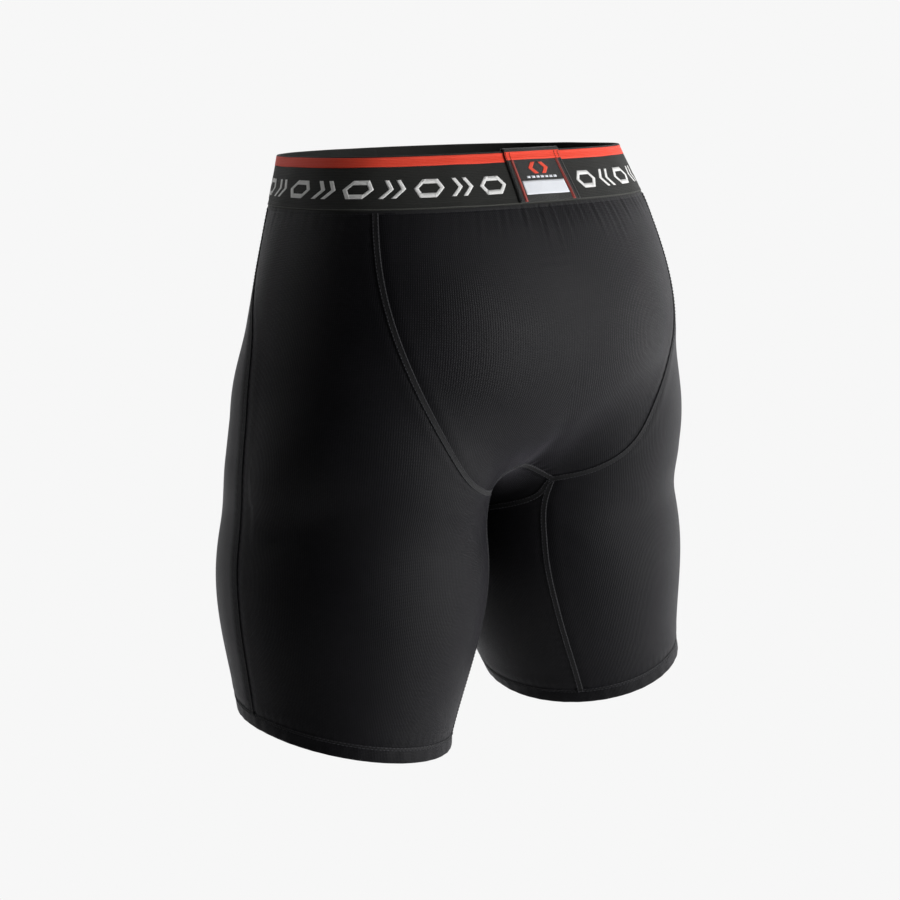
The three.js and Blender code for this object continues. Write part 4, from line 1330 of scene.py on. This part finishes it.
HIP_PAD = {"angle": 8, "share": 0.36, "width": 110, "length": 150}
TAILBONE_PAD = {"share": 0.29, "width": 90, "length": 110}
THIGH_PAD = {"angle": -62, "share": 0.72, "width": 84, "length": 110}
CELL = 15.0
CELL_ROW = CELL * 0.866
CELL_GROOVE = 1.5


def degree_length(angle, v):
    """Millimetres of skin in one degree round the leg."""
    ends = skin(np.array([angle - 1.0, angle + 1.0]), v)
    return float(np.linalg.norm(ends[1] - ends[0])) / 2


def cells_of(x, y):
    """0 in the grooves between six-sided foam cells, 1 on their crowns."""
    best = np.full(np.shape(x), 1e9)
    second = np.full(np.shape(x), 1e9)
    row = np.round(y / CELL_ROW)
    for dr in (-1, 0, 1):
        r = row + dr
        shift = np.where(r % 2 == 0, 0, CELL / 2)
        column = np.round((x - shift) / CELL)
        for dc in (-1, 0, 1):
            away = np.hypot(x - (column + dc) * CELL - shift, y - r * CELL_ROW)
            second = np.minimum(second, np.maximum(best, away))
            best = np.minimum(best, away)
    return smooth_step(second - best, 0.6, 4.2)


def pad_grid(pad, rings, turns):
    """Polar grid of a pad on the skin: points, flat places (mm), and ring numbers (1 at the rim)."""
    central = "angle" not in pad
    half_w, half_l = pad["width"] / 2, pad["length"] / 2
    turn = np.radians(np.linspace(-90, 90, turns // 2 + 1) if central else np.linspace(0, 360, turns + 1))
    r = np.asarray(rings)[:, None]
    grow = np.clip(r - 1, 0, None) * half_w
    x = np.cos(turn) * (np.minimum(r, 1) * half_w + grow)
    y = np.sin(turn) * (np.minimum(r, 1) * half_l + grow)
    v = pad["share"] + share(y)
    if central:
        scale = degree_length(float(back_rise(pad["share"])[0]) - 20, pad["share"])
        angle = back_rise(v.reshape(-1)).reshape(v.shape) - x / scale
    else:
        scale = degree_length(pad["angle"], pad["share"])
        angle = pad["angle"] + x / scale
    p = skin(angle, v)
    if central:
        p[np.abs(x) < 1e-6, 0] = 0
        p = settle(p)
    return p, np.stack([x, y], -1), np.broadcast_to(r, v.shape)


def pad_depth(flat, ring):
    """How thick a pad is: thin at its rim, and grooved between its cells."""
    body = PAD_RIM + (PAD_THICKNESS - PAD_RIM) * (1 - smooth_step(ring, 0.8, 1))
    groove = CELL_GROOVE * (1 - cells_of(flat[..., 0], flat[..., 1])) * (1 - smooth_step(ring, 0.82, 0.96))
    return body - groove


PAD_FACE = -CLOTH - PAD_STANDOFF


def pad_in_pocket(name, pad, sides):
    """A foam pad of moulded cells and the mesh pocket that holds it inside the shell."""
    rings = np.concatenate([np.linspace(0, 0.9, 44), [0.93, 0.96, 0.98, 0.992, 1.0]])
    p, flat, ring = pad_grid(pad, rings, 150)
    rim = 0.5 * smooth_step(ring, 0.97, 1)
    piece = Piece(name)
    for side in sides:
        piece.grid(p, flat, PAD_FACE - rim, PAD_FACE - pad_depth(flat, ring) + rim, side)
    foam = settle_piece(piece.mesh(), "foam", "foam", name)
    half_w = pad["width"] / 2
    rings = np.concatenate([np.linspace(0, 0.9, 40), [0.94, 0.97, 1.0, 1.02, 1.05, 1.09],
                            [1 + POCKET_MARGIN / half_w]])
    p, flat, ring = pad_grid(pad, rings, 150)
    over = PAD_FACE - pad_depth(flat, np.minimum(ring, 1)) - PAD_SLACK
    past = smooth_step(ring, 1.0, 1.05)
    outer = over * (1 - past) + PAD_FACE * past
    edge = 0.25 * np.exp(-((ring - 1 - 0.6 * POCKET_MARGIN / half_w) * half_w / 1.2) ** 2)
    pocket_name = name.replace("_pad", "_pad_pocket")
    piece = Piece(pocket_name)
    for side in sides:
        piece.grid(p, flat, outer, outer - POCKET_CLOTH - edge, side)
    return settle_piece(piece.mesh(), "mesh", "mesh", pocket_name)


pockets = {"tailbone_pad": pad_in_pocket("tailbone_pad", TAILBONE_PAD, (1, -1))}
for name, side in SIDES.items():
    pockets["hip_pad_" + name] = pad_in_pocket("hip_pad_" + name, HIP_PAD, (side,))
    pockets["thigh_pad_" + name] = pad_in_pocket("thigh_pad_" + name, THIGH_PAD, (side,))

LINING_INSET = 4
lining_p, lining_uv = pouch_grid(TOP + share(LINING_INSET), LINING_INSET, 60, 18)
lining_piece = Piece("pouch_lining")
for side in (1, -1):
    lining_piece.grid(lining_p, lining_uv, PAD_FACE, PAD_FACE - POCKET_CLOTH, side)
lining = settle_piece(lining_piece.mesh(), "mesh", "mesh", "pouch_lining")

# ---------------------------------------------------------------- floor, light and camera

TARGET_HEIGHT = -229.2
VIEW_ROUND = math.radians(39.6)
VIEW_UP = math.radians(13.55)
VIEW_DISTANCE = 1295.7
VIEW_SHIFT = -8.95
LENS = 67.12


def aim(thing, point):
    """Turns a camera or a light to face a point."""
    thing.rotation_mode = "QUATERNION"
    thing.rotation_quaternion = (Vector(point) - thing.location).to_track_quat("-Z", "Y")


right = np.array([-math.cos(VIEW_ROUND), math.sin(VIEW_ROUND), 0.0])
toward = np.array([math.sin(VIEW_ROUND) * math.cos(VIEW_UP), math.cos(VIEW_ROUND) * math.cos(VIEW_UP),
                   math.sin(VIEW_UP)])
level = np.array([toward[0], toward[1], 0.0]) / math.cos(VIEW_UP)
target = (np.array([0, 0, TARGET_HEIGHT]) + right * VIEW_SHIFT) * MM
camera = bpy.data.objects.new("camera", bpy.data.cameras.new("camera"))
camera.data.lens = LENS
camera.location = Vector(target + toward * VIEW_DISTANCE * MM)
camera.data.clip_start, camera.data.clip_end = 0.05, 40
aim(camera, target)
bpy.context.scene.collection.objects.link(camera)
bpy.context.scene.camera = camera


def softbox(name, along_right, along_toward, height, size, power):
    """A white soft light, placed to the right of the target, towards the camera and above it."""
    light = bpy.data.lights.new(name, "AREA")
    light.shape = "RECTANGLE"
    light.size, light.size_y = size
    light.energy = power
    light.color = linear("#ffffff")[:3]
    thing = bpy.data.objects.new(name, light)
    thing.location = Vector(target + right * along_right + level * along_toward) + Vector((0, 0, height))
    aim(thing, target)
    bpy.context.scene.collection.objects.link(thing)


softbox("key_softbox", 1.9, 0.75, 0.25, (0.7, 1.5), 43)
softbox("side_softbox", 2.1, 0.1, 0.2, (0.7, 1.5), 6)
softbox("edge_strip_right", 1.5, -1.0, 0.1, (0.5, 1.6), 9)
softbox("edge_strip_left", -1.5, -0.5, 0.85, (0.4, 1.0), 5)
softbox("overhead", 0.9, 0.5, 1.7, (1.2, 1.2), 4)

FLOOR_DROP = 0.6
FLOOR_GAP = 0.02
SWEEP_START, SWEEP_END, SWEEP_BEND, SWEEP_HEIGHT = -0.7, -2.4, 1.0, 4.2
floor_height = CAD_BOX[0][2] - FLOOR_DROP


def studio_surface(name, run, height, half_width):
    """A floor or sweep made of strips across the camera's view, at distances run towards it."""
    count = 12
    across = np.linspace(-half_width, half_width, count)
    points = [target * [1, 1, 0] + right * a + level * b + [0, 0, z]
              for b, z in zip(run, height) for a in across]
    faces = [[i * count + j, i * count + j + 1, (i + 1) * count + j + 1, (i + 1) * count + j]
             for i in range(len(run) - 1) for j in range(count - 1)]
    surface = make_mesh(name, np.array(points) / MM, faces)
    return surface


floor = studio_surface("studio_floor", np.linspace(3.5, -3.6, 12),
                       np.full(12, floor_height - FLOOR_GAP), 4.5)
bend = np.linspace(0, np.pi / 2, 12)
sweep = studio_surface(
    "lit_sweep",
    np.concatenate([np.linspace(SWEEP_START, SWEEP_END, 8), SWEEP_END - np.sin(bend) * SWEEP_BEND,
                    [SWEEP_END - SWEEP_BEND]]),
    floor_height + np.concatenate([np.zeros(8), SWEEP_BEND - np.cos(bend) * SWEEP_BEND,
                                   [SWEEP_HEIGHT]]),
    3.2,
)

# Matt studio paint: pale, even, with only a trace of roller mottle.
paint, tree = new_material("matt_studio_paint")
mottle = add(tree, "TexNoise", {"Scale": 3.0, "Detail": 2.0})
tint = add(tree, "Mix", {"Factor": mottle.outputs["Fac"], 6: linear("#e6e6e6"), 7: linear("#f0f0f0")},
           data_type="RGBA")
finish_with(tree, add(tree, "BsdfPrincipled", {"Base Color": tint.outputs[2], "Roughness": 0.95,
                                               "Specular IOR Level": 0.1}))
floor.data.materials.append(paint)

# Opal acrylic lit from behind: an even pale glow with no shadow on it.
opal, tree = new_material("backlit_opal_acrylic")
glow = add(tree, "Emission", {"Color": linear("#f7f7f7"), "Strength": 1.0})
finish_with(tree, glow)
sweep.data.materials.append(opal)

world = bpy.data.worlds.new("studio")
world.use_nodes = True
world.node_tree.nodes["Background"].inputs["Color"].default_value = linear("#f7f7f7")
world.node_tree.nodes["Background"].inputs["Strength"].default_value = 0.08
bpy.context.scene.world = world
bpy.context.scene.view_settings.view_transform = "Standard"
